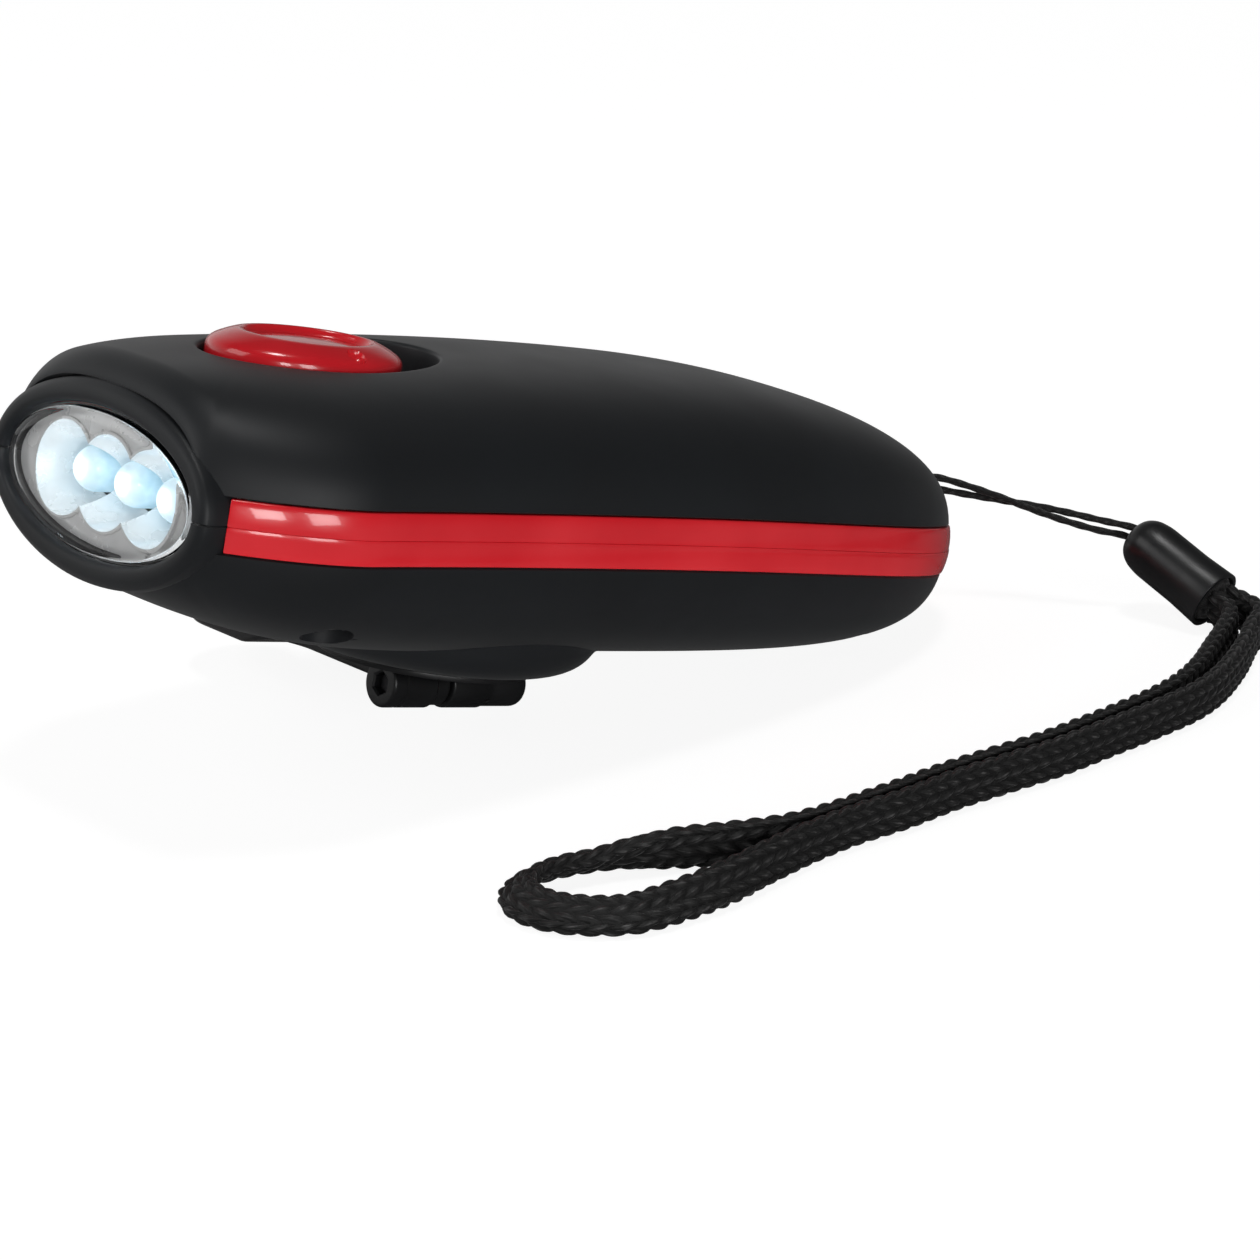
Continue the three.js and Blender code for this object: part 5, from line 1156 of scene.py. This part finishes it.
# %% Slide button
BUTTON_X = 26.6
BUTTON_SIDES = 128
button_ovals = np.array([
    (0, 0, 13.05), (10.7, 8.2, 13.05), (11.2, 8.7, 12.75), (11.4, 8.9, 12.82), (11.4, 8.9, 14.4),
    (11.38, 8.88, 14.72), (11.32, 8.82, 15.0), (11.18, 8.69, 15.28), (10.94, 8.48, 15.54),
    (10.58, 8.18, 15.79), (10.14, 7.8, 16.02), (9.66, 7.4, 16.24), (9.2, 7.01, 16.43), (8.8, 6.67, 16.58),
    (8.45, 6.38, 16.7), (8.14, 6.12, 16.77), (7.86, 5.89, 16.8), (7.62, 5.69, 16.77), (7.46, 5.56, 16.68),
    (7.36, 5.48, 16.52), (7.26, 5.39, 16.3), (7.14, 5.29, 16.13), (6.95, 5.13, 16.02), (6.6, 4.85, 16.0),
    (5.6, 4.1, 16.09), (4.0, 2.9, 16.24), (2.2, 1.6, 16.34), (0, 0, 16.38),
])


def button_place(column, row):
    """Points of the cap, whose rows are the ovals."""
    angle = 2 * pi * column / BUTTON_SIDES
    oval = button_ovals[row]
    return np.stack([BUTTON_X + oval[:, 0] * np.cos(angle), oval[:, 1] * np.sin(angle), oval[:, 2]], -1)


def block(name, low, high, edge=0.15):
    """A box between two corners with small bevelled edges."""
    bpy.ops.object.select_all(action="DESELECT")
    middle = [(a + b) / 2 for a, b in zip(low, high)]
    bpy.ops.mesh.primitive_cube_add(size=1, location=middle)
    piece = bpy.context.object
    piece.name = piece.data.name = name
    piece.scale = [b - a for a, b in zip(low, high)]
    bpy.ops.object.transform_apply(location=True, rotation=True, scale=True)
    bpy.ops.object.mode_set(mode="EDIT")
    bpy.ops.mesh.select_all(action="SELECT")
    bpy.ops.mesh.bevel(offset=edge, segments=2, affect="EDGES")
    bpy.ops.object.mode_set(mode="OBJECT")
    bpy.ops.object.shade_smooth_by_angle(angle=radians(35))
    return piece


STEM_HALF_LENGTH = 2.5
STEM_HALF_WIDTH = 2.1
STEM_TOP_Z = 13.6
STEM_END_Z = 8.8
FORK_HALF_LENGTH = 1.5
LEVER_TOP_Z = 10.6
DIMPLE_CENTRE = (27.7, -7.75, 16.45)
DIMPLE_RADIUS = 1.25
button = wrapped_grid("slide_button_cap", BUTTON_SIDES, len(button_ovals) - 1, button_place, 60)
ball = [(DIMPLE_RADIUS * sin(pi * k / 10), -DIMPLE_RADIUS * cos(pi * k / 10)) for k in range(11)]
cut(button, posed(turned("dimple", ball, 24), Matrix.Translation(DIMPLE_CENTRE)))
stem = block(
    "stem", (BUTTON_X - STEM_HALF_LENGTH, -STEM_HALF_WIDTH, STEM_END_Z),
    (BUTTON_X + STEM_HALF_LENGTH, STEM_HALF_WIDTH, STEM_TOP_Z),
)
fork = block(
    "fork", (BUTTON_X - FORK_HALF_LENGTH, -5, STEM_END_Z - 2), (BUTTON_X + FORK_HALF_LENGTH, 5, LEVER_TOP_Z),
)
cut(stem, fork)
cut(button, stem, "UNION")
finish_mesh(button, 32)
stand(button, "slide_button", "red_gloss", "slide_button")

# %% [markdown]
# ## Crank
# The crank turns under the belly. Its hub is a thin disc with a stem into the case, and a short
# hinge barrel hangs below it. We turn both on the lathe, join them through a web with booleans,
# and set three small slanting ribs on the barrel.

# %% Hub disc and rear knuckle
DISC_RADIUS = 12.2
RUNNING_GAP = 0.3
DISC_THICKNESS = 0.7
DISC_TOP_Z = BOSS_FACE_Z - RUNNING_GAP
DISC_BOTTOM_Z = DISC_TOP_Z - DISC_THICKNESS
HUB_STEM_RADIUS = 3
HUB_STEM_TOP_Z = -10.7
HINGE_RADIUS = 2.7
HINGE_Z = DISC_BOTTOM_Z - RUNNING_GAP - HINGE_RADIUS
FRONT_KNUCKLE = (44.0, 52.1)
REAR_KNUCKLE = (52.4, 63.2)
PIN_BORE = 1.3
WEB_HALF_WIDTH = 2.3
RIB_PLACE = (56.0, -1.88, HINGE_Z - 1.74)
RIB_PITCH = 0.8
disc_corners = [
    (0, DISC_BOTTOM_Z), (DISC_RADIUS, DISC_BOTTOM_Z), (DISC_RADIUS, DISC_TOP_Z),
    (HUB_STEM_RADIUS, DISC_TOP_Z), (HUB_STEM_RADIUS, HUB_STEM_TOP_Z), (0, HUB_STEM_TOP_Z),
]


def barrel(name, x, outline, sides=72):
    """A hinge barrel along x from an outline of (radius, distance from x) pairs."""
    return along_x(turned(name, outline, sides), x, 0, HINGE_Z)


rear_length = REAR_KNUCKLE[1] - REAR_KNUCKLE[0]
rear_neck = HINGE_RADIUS - 0.16
rear_outline = np.concatenate([
    rounded_profile([(0, 0), (HINGE_RADIUS, 0), (HINGE_RADIUS, 5.2)], 0.3, 4)[:-1],
    [(HINGE_RADIUS, 5.0), (rear_neck, 5.35)],
    rounded_profile([(rear_neck, 6), (rear_neck, rear_length), (0, rear_length)], 1.1, 7),
])
hub = turned("crank_hub_skin", rounded_profile(disc_corners, 0.2, 3), 128)
posed(hub, Matrix.Translation((HUB_X, 0, 0)))
rear_knuckle = barrel("rear_knuckle", REAR_KNUCKLE[0], rear_outline)
web = block(
    "web", (REAR_KNUCKLE[0], -WEB_HALF_WIDTH, HINGE_Z),
    (HUB_X + DISC_RADIUS - 0.9, WEB_HALF_WIDTH, DISC_BOTTOM_Z + 0.35),
)
cut(rear_knuckle, web, "UNION")
rib_turn = Matrix.Rotation(radians(-43), 4, "X") @ Matrix.Rotation(radians(32), 4, "Z")
x, y, z = RIB_PLACE
for k in range(3):
    rib = block("rib", (-0.1, -0.75, -0.1), (0.1, 0.75, 0.1), 0.05)
    cut(rear_knuckle, posed(rib, Matrix.Translation((x + k * RIB_PITCH, y, z)) @ rib_turn), "UNION")
cut(hub, rear_knuckle, "UNION")
finish_mesh(hub, 32)
stand(hub, "crank_hub", "satin_black", "crank_hub")

# %% [markdown]
# ### Crank arm
# The arm's own barrel forms the front of the hinge, with a six-sided hole for the pin and a
# notch above it. A flat blade leaves it to the far side, steps down past the boss, widens and
# ends round under the knob. The blade is one wrapped grid whose section changes along the way.

# %% Crank arm
ARM_X = 48.2
ARM_LENGTH = 31
ARM_HALF_WIDTH = 3.9
KNOB_RADIUS = 6.2
ARM_THICKNESS = 2.3
ARM_TOP_Z = -18.7
ARM_STEP = 1.5
ARM_STEP_START = 18
ARM_STEP_LENGTH = 6
FLARE_START = 14
FLARE_LENGTH = 8
BLADE_SIDES = 40
BLADE_EDGE = 0.55


def eased(share):
    """A soft step from 0 to 1."""
    share = np.clip(share, 0, 1)
    return share * share * (3 - 2 * share)


def blade_table():
    """Sections of the blade along y: rounded flat rectangles, closed at both ends."""
    straight = np.linspace(0.2, ARM_LENGTH, 60)
    turn_angle = np.linspace(0, pi / 2, 22)[1:]
    y = np.concatenate([straight, ARM_LENGTH + KNOB_RADIUS * np.sin(turn_angle)])
    wide = ARM_HALF_WIDTH + (KNOB_RADIUS - ARM_HALF_WIDTH) * eased((y - FLARE_START) / FLARE_LENGTH)
    wide[len(straight):] = KNOB_RADIUS * np.cos(turn_angle)
    z = ARM_TOP_Z - ARM_THICKNESS / 2 - ARM_STEP * eased((y - ARM_STEP_START) / ARM_STEP_LENGTH)
    angle = np.linspace(0, 2 * pi, BLADE_SIDES + 1)[:-1]
    table = []
    for spot, half, middle in zip(y, wide, z):
        reach = np.maximum(half - BLADE_EDGE, 0)
        across = np.sign(np.cos(angle)) * reach + np.cos(angle) * np.minimum(BLADE_EDGE, half)
        upward = np.sign(np.sin(angle)) * (ARM_THICKNESS / 2 - BLADE_EDGE) + np.sin(angle) * BLADE_EDGE
        section = np.stack([ARM_X + across, np.full(BLADE_SIDES, spot), middle + upward], -1)
        table.append(np.concatenate([section, section[:1]]))
    table = np.array(table)
    closing = [np.repeat(table[k].mean(0, keepdims=True), BLADE_SIDES + 1, 0) for k in (0, -1)]
    return np.concatenate([closing[0][None], table, closing[1][None]])


arm = skin("crank_arm_blade", blade_table(), 35)
front_length = FRONT_KNUCKLE[1] - FRONT_KNUCKLE[0]
collar = [(HINGE_RADIUS, 1.55), (HINGE_RADIUS - 0.2, 1.7), (HINGE_RADIUS - 0.2, 1.95), (HINGE_RADIUS, 2.1)]
front_neck = HINGE_RADIUS - 0.28
front_outline = np.concatenate([
    rounded_profile([(0, 0), (HINGE_RADIUS, 0), (HINGE_RADIUS, 1.5)], 0.4, 5)[:-1],
    collar,
    [(HINGE_RADIUS, 6.0), (front_neck, 6.35)],
    rounded_profile([(front_neck, 6.6), (front_neck, front_length), (0, front_length)], 0.3, 4),
])
front_knuckle = barrel("front_knuckle", FRONT_KNUCKLE[0], front_outline)
cut(arm, front_knuckle, "UNION")
hexagon = turned("hexagon", [(0, -1), (1.55, -1), (1.55, 0.0), (1.3, 0.22), (1.3, 1.9), (0, 1.9)], 6)
cut(arm, along_x(hexagon, FRONT_KNUCKLE[0], 0, HINGE_Z))
notch = turned("notch", [(0, -1), (0.75, -1), (0.75, 1.1), (0, 1.1)], 4)
cut(arm, along_x(notch, FRONT_KNUCKLE[0], 1.2, HINGE_Z + HINGE_RADIUS - 0.1))
foot_well = turned("foot_well", [(0, -2), (2.3, -2), (2.3, 1), (0, 1)], 40)
blade_bottom_z = ARM_TOP_Z - ARM_STEP - ARM_THICKNESS
cut(arm, posed(foot_well, Matrix.Translation((ARM_X, ARM_LENGTH, blade_bottom_z))))
finish_mesh(arm, 32)
stand(arm, "crank_arm", "satin_black", "crank_arm")

# %% [markdown]
# ### Crank knob
# The knob turns on a pin in the arm's round end. It is turned on the lathe with a waist and a
# sunken top, and shallow flutes round its rim give the finger a hold.

# %% Crank knob
KNOB_TOP_Z = -16.25
KNOB_BOTTOM_Z = -19.9
FLUTES = 20
FLUTE_DEPTH = 0.022
KNOB_SIDES = 160
knob_height = KNOB_TOP_Z - KNOB_BOTTOM_Z
knob_corners = [
    (PIN_BORE, 0.2), (PIN_BORE, 0), (4.5, 0), (4.8, 0.3 * knob_height),
    (KNOB_RADIUS, 0.5 * knob_height), (KNOB_RADIUS, 0.8 * knob_height), (5.6, knob_height),
    (2.5, knob_height), (2.3, knob_height - 1.25),
    (PIN_BORE, knob_height - 1.25), (PIN_BORE, 0.2),
]
knob_section = rounded_profile(knob_corners, 0.35, 3)


def knob_place(column, row):
    """Points of the turned knob, drawn in a little at each flute."""
    angle = 2 * pi * column / KNOB_SIDES
    radius, height = knob_section[row, 0], knob_section[row, 1]
    near_rim = np.clip((radius - 4.9) / 1.2, 0, 1)
    flute = 1 - FLUTE_DEPTH * near_rim * (0.5 + 0.5 * np.cos(FLUTES * angle))
    x, y = radius * flute * np.cos(angle), radius * flute * np.sin(angle)
    return np.stack([ARM_X + x, ARM_LENGTH + y, KNOB_BOTTOM_Z + height], -1)


knob = wrapped_grid("crank_knob_turned", KNOB_SIDES, len(knob_section) - 1, knob_place, 38)
stand(knob, "crank_knob", "satin_black", "crank_knob")

# %% [markdown]
# ## Cords
# A thin loop cord goes round the strap bar in the tail. Both its strands cross once on the way
# to a satin sleeve, where the loop turns back round the folded end of the braided wrist strap.
# Each route is a short list of points, read off the photograph where the cord is seen and guessed
# where it is hidden. A smooth curve goes through them, and a frame of three directions is carried
# along it without twisting, so that a section can be swept over it.

# %% Cord routes
LOOP_DIAMETER = 0.9
LOOP_ROUTE = [
    (117.5, 0.0, 15.33), (119.6, 0.0, 14.85), (121.6, -0.6, 14.35), (124.0, -3.2, 13.4),
    (126.4, -6.4, 12.25), (128.3, -9.5, 11.2), (130.4, -12.6, 10.2), (132.8, -15.6, 9.3),
    (135.2, -18.0, 8.65), (135.75, -20.6, 7.9), (136.1, -22.6, 6.9), (136.4, -24.4, 6.3),
    (136.3, -25.0, 7.9), (136.0, -23.4, 9.2), (135.7, -21.2, 9.6), (135.4, -18.9, 9.9),
    (133.3, -15.4, 10.4), (131.4, -12.2, 10.9), (129.5, -9.0, 11.3), (127.0, -5.8, 11.75),
    (124.2, -2.8, 12.3), (121.5, -0.4, 12.95), (119.3, 0.1, 13.5), (117.3, 0.0, 14.0),
]
SLEEVE_MOUTH = Vector((137.5, -30.6, 3.3))
SLEEVE_NOSE = Vector((135.6, -19.1, 8.9))
STRAP_WIDTH = 4.5
STRAP_THICKNESS = 1.9
STRAP_HEIGHT = 2.3
STRAP_PLAN = [
    (138.7, -36), (136.7, -38.6), (133.2, -40.7), (126.5, -45.4), (118.6, -50), (112, -52.6), (105, -53.9),
    (96, -55.1), (87.4, -56.1), (79.8, -56.3), (72, -56.5), (63.8, -57.4), (56.6, -57.6), (49, -58.6),
    (42.6, -59.9), (36.4, -61.2), (29.5, -61.6), (23.6, -61), (19.6, -58), (17.7, -54), (18.4, -49.8),
    (21.8, -46.9), (26.4, -46.4), (31.6, -47.6), (37, -49.8), (42.6, -52.4), (49, -54.6), (56.6, -55.3),
    (63.8, -55.1), (72, -54.3), (79.8, -54), (87.4, -53.8), (96, -52.8), (105, -51.4), (112, -49.5),
    (118.6, -46.4), (125, -42.4), (130.4, -39), (134.2, -36.4),
]
STRAP_ROUTE = [
    (138.75, -31.15, 2.95), (139.1, -33.4, 2.45), *[(x, y, STRAP_HEIGHT) for x, y in STRAP_PLAN],
    (136.1, -34, 2.45), (136.42, -31.55, 2.95),
]


def smooth_route(route, count):
    """Evenly spaced points on a smooth curve through the route's points, and its length."""
    points = np.array(route, float)
    ghost = np.concatenate([[2 * points[0] - points[1]], points, [2 * points[-1] - points[-2]]])
    t = np.linspace(0, 1, 24, endpoint=False)[:, None]
    parts = []
    for a, b, c, d in zip(ghost, ghost[1:], ghost[2:], ghost[3:]):
        square, cube = 2 * a - 5 * b + 4 * c - d, 3 * b - a - 3 * c + d
        parts.append(0.5 * (2 * b + (c - a) * t + square * t ** 2 + cube * t ** 3))
    return evenly(np.concatenate([*parts, points[-1:]]), count)


def carried_frames(line, first_up):
    """Directions along, across and up that are carried along a line without twisting."""
    along = np.gradient(line, axis=0)
    along /= np.linalg.norm(along, axis=1)[:, None]
    up_way = np.zeros_like(line)
    current = np.array(first_up, float)
    for k in range(len(line)):
        current = current - along[k] * (current @ along[k])
        current /= np.linalg.norm(current)
        up_way[k] = current
    return along, np.cross(along, up_way), up_way


print("the routes have", len(LOOP_ROUTE), "and", len(STRAP_ROUTE), "points")

# %% [markdown]
# ### Loop cord
# The cord is about 0.9 mm thick, and we take it to be laid from two plies. A ring of points is
# swept along the route: its radius has two soft humps that turn round the cord as it goes,
# which is enough to suggest the plies at this size.

# %% Loop cord
def swept(name, line, ring, first_up=(0, 0, 1), smooth_angle=60, roll=None):
    """Sweeps a ring of points along a line; roll turns the ring about the line at each step."""
    along, across, up_way = carried_frames(line, first_up)
    if roll is not None:
        lean = np.stack([np.cos(roll), np.sin(roll)], -1)[..., None]
        level, upright = across, up_way
        across = level * lean[:, 0] + upright * lean[:, 1]
        up_way = upright * lean[:, 0] - level * lean[:, 1]
    sides = ring["sides"]

    def place(column, row):
        angle = 2 * pi * row / sides
        a, b = ring["shape"](column, angle)
        return line[column] + across[column] * a[:, None] + up_way[column] * b[:, None]

    return wrapped_grid(name, len(line) - 1, sides, place, smooth_angle, merge=0.001)


def twisted(column, angle):
    """A round cord of two plies: two soft humps that turn round it along the way."""
    radius = LOOP_DIAMETER / 2 * (0.93 + 0.07 * np.cos(2 * angle - column * 0.42))
    return radius * np.cos(angle), radius * np.sin(angle)


loop_line, loop_length = smooth_route(LOOP_ROUTE, 420)
loop_cord = swept("loop_cord", loop_line, dict(sides=14, shape=twisted))
stand(loop_cord, "case", "cord_black", "loop_cord_upper", "loop_cord_lower", frame_of=TABLE)
print("the loop cord is", round(loop_length, 1), "mm long")

# %% [markdown]
# ### Cord sleeve
# The sleeve is a satin plastic barrel with a blunt nose for the loop cord and a flared mouth for
# the strap, turned on the lathe and laid along the way from nose to mouth. The strap is folded
# inside it, of which only a knitted dome shows in the mouth. How it folds is a guess.

# %% Cord sleeve
SLEEVE_RADIUS = 3.5
SLEEVE_LENGTH = 13.2
FOLD_SIDES = 96
FOLD_ROWS = 20
FOLD_RADIUS = 3.1
FOLD_HEIGHT = 1.9
FOLD_RELIEF = 0.13

nose_corners = [(0, 0.05), (1.1, 0), (2.4, 0.5), (3.2, 1.7), (SLEEVE_RADIUS, 3.4), (SLEEVE_RADIUS, 9)]
mouth_corners = [(3.55, 10), (3.72, SLEEVE_LENGTH), (3.2, SLEEVE_LENGTH), (3.0, 9.0), (0, 9.0)]
nose_section = rounded_profile(nose_corners, 0.7, 5)
mouth_section = rounded_profile(mouth_corners, 0.14, 3)
sleeve = turned("cord_sleeve_barrel", np.concatenate([nose_section, mouth_section]), 96)
sleeve_way = SLEEVE_MOUTH - SLEEVE_NOSE
sleeve_start = SLEEVE_MOUTH - sleeve_way.normalized() * SLEEVE_LENGTH
along_sleeve = Matrix.Translation(sleeve_start) @ sleeve_way.to_track_quat("Z", "Y").to_matrix().to_4x4()
stand(posed(sleeve, along_sleeve), "case", "satin_black", "cord_sleeve", frame_of=TABLE)


def fold_place(column, row):
    """The strap's folded end, a knitted dome that fills the sleeve's mouth."""
    angle = 2 * pi * column / FOLD_SIDES
    share = row / FOLD_ROWS
    bulge = np.sin(9 * angle) * np.sin(share * 5 * pi) * FOLD_RELIEF
    radius = FOLD_RADIUS * np.sin(share * pi / 2)
    height = 12.2 + FOLD_HEIGHT * np.cos(share * pi / 2) + bulge * np.cos(share * pi / 2) ** 0.3
    return np.stack([radius * np.cos(angle), radius * np.sin(angle), height], -1)


fold = wrapped_grid("strap_fold", FOLD_SIDES, FOLD_ROWS, fold_place, 60)
stand(posed(fold, along_sleeve), "case", "cord_black", frame_of=TABLE)

# %% [markdown]
# ### Wrist strap
# The strap is a flat tube of knitted yarn, 4.5 mm wide, that stands on its edge. Every stitch is
# a small leaf, its rows are set off by half a stitch and lean to alternate sides, and because
# the rows go right round, the strap's edges come out scalloped. Round the front bend the strap
# leans with its top into the loop, which a roll angle along the line gives, and it is lowered
# there so that its lower edge stays on the table. A little way past the bend the returning
# strand is pushed over towards the other one.

# %% Wrist strap
STITCH_PITCH = 2.15
STITCH_ROWS = 10
STITCH_RELIEF = 0.42
STRAP_SIDES = 64
STRAP_STEPS = 1420
STRAP_CORNER = 0.8
STITCH_CREST = 0.09
STRAP_ROLL = radians(60)
ROLL_BEFORE, ROLL_IN = 44, 36
ROLL_PAST, ROLL_OUT = 28, 13
STRAND_PUSH = 0.7
PUSH_FROM, PUSH_IN = 31, 6
PUSH_TO, PUSH_OUT = 62, 12
half_tall = STRAP_WIDTH / 2 - STRAP_CORNER
half_thick = STRAP_THICKNESS / 2 - STRAP_CORNER


def strap_outline(count):
    """Evenly spaced points and outward directions round the strap's section."""
    quarters = (0, 1, 1), (pi / 2, -1, 1), (pi, -1, -1), (3 * pi / 2, 1, -1)
    corner = np.linspace(0, pi / 2, 13)
    points, ways = [], []
    for start, thick_side, tall_side in quarters:
        way = np.stack([np.cos(corner + start), np.sin(corner + start)], -1)
        points.append(np.array([thick_side * half_thick, tall_side * half_tall]) + way * STRAP_CORNER)
        ways.append(way)
    points, ways = np.concatenate(points), np.concatenate(ways)
    points, ways = np.concatenate([points, points[:1]]), np.concatenate([ways, ways[:1]])
    spread, _ = evenly(points, count + 1, ways)
    return spread[:, :2], spread[:, 2:] / np.linalg.norm(spread[:, 2:], axis=1)[:, None]


outline_points, outline_ways = strap_outline(STRAP_SIDES)


def strap_section(column, angle):
    """The strap's section at a step: its outline raised by the leaves of the stitches."""
    side = np.rint(angle / (2 * pi) * STRAP_SIDES).astype(int)
    row = side / STRAP_SIDES * STITCH_ROWS
    inside = row % 1
    number = np.floor(row)
    lean = np.where(number % 2 == 0, 1.0, -1.0)
    along = column * strap_length / STRAP_STEPS / STITCH_PITCH
    way = along + 0.5 * (number % 2) + lean * (inside - 0.5) * STITCH_LEAN
    leaf = np.sin(pi * inside) ** 0.7 * np.sin(pi * (way % 1) ** 0.8) ** 0.7
    point = outline_points[side] + outline_ways[side] * (STITCH_RELIEF * (leaf - 0.8))[:, None]
    return point[:, 0], point[:, 1]


strap_line, strap_length = smooth_route(STRAP_ROUTE, STRAP_STEPS + 1)
run = np.arange(STRAP_STEPS + 1) * strap_length / STRAP_STEPS
past_bend = run - run[np.argmin(strap_line[:, 0])]
roll = STRAP_ROLL * eased((past_bend + ROLL_BEFORE) / ROLL_IN) * eased((ROLL_PAST - past_bend) / ROLL_OUT)
reach_down = half_tall * np.cos(roll) + half_thick * np.sin(roll) + STRAP_CORNER + STITCH_CREST
strap_line[:, 2] += reach_down - STRAP_HEIGHT
returning_x = np.where(past_bend > 0, strap_line[:, 0], 0)
push = STRAND_PUSH * eased((returning_x - PUSH_FROM) / PUSH_IN) * eased((PUSH_TO - returning_x) / PUSH_OUT)
strap_line[:, 1] -= push
strap_ring = dict(sides=STRAP_SIDES, shape=strap_section)
strap = swept("wrist_strap_braid", strap_line, strap_ring, smooth_angle=80, roll=-roll)
strap_yarn = braid_finish("strap_yarn", (strap_length / STITCH_PITCH, STITCH_ROWS), 3, 0.55)
stand(strap, "case", "cord_black", "wrist_strap", frame_of=TABLE, finish=strap_yarn)
print("the wrist strap is", round(strap_length, 1), "mm long")

# %% [markdown]
# Both cords are limp and both their ends stay on the object. The loop cord hangs from the tail
# and the strap lies loose.

# %% [markdown]
# ## Floor and light
# The photograph is a product shot on pure white. The floor is a plain pale card that also glows
# for the camera and for diffuse rays, so that it comes out nearly white, with soft shadows only.
# A mirror-like surface would show that glow as a flat white, so glossy rays see a darker card in
# its place that brightens towards the back.

# %% Floor
FLOOR_GLOW_SHARE = 0.72


def share_along(tree, way, direction):
    """How far a direction in the node tree points along a fixed one."""
    made = add_node(tree, "ShaderNodeVectorMath", {0: way, 1: direction}, operation="DOT_PRODUCT")
    return made.outputs["Value"]


bpy.ops.object.select_all(action="DESELECT")
bpy.ops.mesh.primitive_plane_add(size=6, location=(0, 0, -0.0002))
floor = bpy.context.object
floor.name = "pale_floor"
material, tree, shader = new_finish("pale_card", Roughness=0.9, Specular_IOR_Level=0.1)
effect = use_group(tree, moulded, {"Vector": place_of(tree), "Grain": 900, "Patches": 6})
pale = ramp(tree, effect["Handled"], (0, (0.9, 0.9, 0.9)), (1, (0.93, 0.93, 0.93)))
tree.links.new(pale, shader.inputs["Base Color"])
rays = add_node(tree, "ShaderNodeLightPath").outputs
outward = add_node(tree, "ShaderNodeVectorMath", {0: place_of(tree)}, operation="NORMALIZE").outputs["Vector"]
behind = ranged(tree, share_along(tree, outward, (-0.1, 1, 0)), 0, 1, -0.2, 0.9)
mirrored = ramp(tree, behind, (0, (0.2, 0.2, 0.205)), (0.5, (0.3, 0.3, 0.3)), (1, (0.62, 0.61, 0.61)))
dull = add_node(tree, "ShaderNodeBsdfDiffuse", {"Color": mirrored}).outputs["BSDF"]
card = add_node(tree, "ShaderNodeEmission", {"Color": (1, 1, 1, 1), "Strength": 1.25}).outputs["Emission"]
lifted = mixed_shader(tree, FLOOR_GLOW_SHARE, shader.outputs["BSDF"], card)
lit_for = maths(tree, "MAXIMUM", rays["Is Camera Ray"], rays["Is Diffuse Ray"])
plain = mixed_shader(tree, lit_for, shader.outputs["BSDF"], lifted)
mixed = mixed_shader(tree, rays["Is Glossy Ray"], plain, dull)
tree.links.new(mixed, tree.nodes["Material Output"].inputs["Surface"])
floor.data.materials.append(material)
print("the floor wears", material.name)

# %% [markdown]
# ### Studio
# The world is white for the camera. For everything else it is bright beyond the torch and dim
# behind the camera, as in a room with one bright wall. Two window lights stand on the near side,
# and a light overhead and a fill lift the rest. A small bluish light stands in each cup just
# before its diode and lights the reflector as the lit diode does.

# %% Studio
WORLD_BEHIND = (-0.1, 1.0, -0.55)
CUP_GLOW_POWER = 0.0006
CUP_GLOW_LEAD = 0.9
world = bpy.data.worlds.new("studio")
bpy.context.scene.world = world
world.use_nodes = True
tree = world.node_tree
way = add_node(tree, "ShaderNodeTexCoord").outputs["Generated"]
soft_room = ranged(tree, share_along(tree, way, WORLD_BEHIND), 0.05, 0.8, 0.15, 1.0)
rays = add_node(tree, "ShaderNodeLightPath").outputs
seen = maths(tree, "MAXIMUM", soft_room, rays["Is Camera Ray"])
background = tree.nodes["Background"]
background.inputs["Color"].default_value = (1, 1, 1, 1)
tree.links.new(seen, background.inputs["Strength"])
bpy.context.scene.view_settings.view_transform = "Standard"


def soft_light(name, place, aim, size, power):
    """An area light of (width, height) that looks at a point."""
    light = bpy.data.objects.new(name, bpy.data.lights.new(name, "AREA"))
    light.data.shape = "RECTANGLE"
    light.data.size, light.data.size_y = size
    light.data.energy = power
    light.location = place
    light.rotation_euler = (Vector(aim) - Vector(place)).to_track_quat("-Z", "Y").to_euler()
    bpy.context.scene.collection.objects.link(light)
    print(name, power, "W")


soft_light("front window", (-0.62, -1.08, 0.33), (-0.05, -0.03, 0.037), (0.24, 0.26), 2.2)
soft_light("side window", (-0.14, -1.25, 0.3), (-0.046, -0.03, 0.036), (0.34, 0.42), 3.4)
for number, centre in enumerate(cup_places):
    glow = bpy.data.objects.new(f"cup_glow_{number}", bpy.data.lights.new(f"cup_glow_{number}", "POINT"))
    glow.data.energy = CUP_GLOW_POWER
    glow.data.color = (0.8, 0.93, 1)
    glow.data.shadow_soft_size = 0.0005
    glow.location = TORCH @ Vector((LED_TIP - CUP_GLOW_LEAD, centre, 0))
    glow.visible_camera = glow.visible_glossy = glow.visible_transmission = False
    bpy.context.scene.collection.objects.link(glow)
soft_light("overhead", (0.03, -0.12, 1.2), (0, 0, 0.02), (0.26, 0.2), 3)
soft_light("fill", (-1.2, 0.3, 0.9), (0, 0, 0.02), (0.9, 0.9), 5)
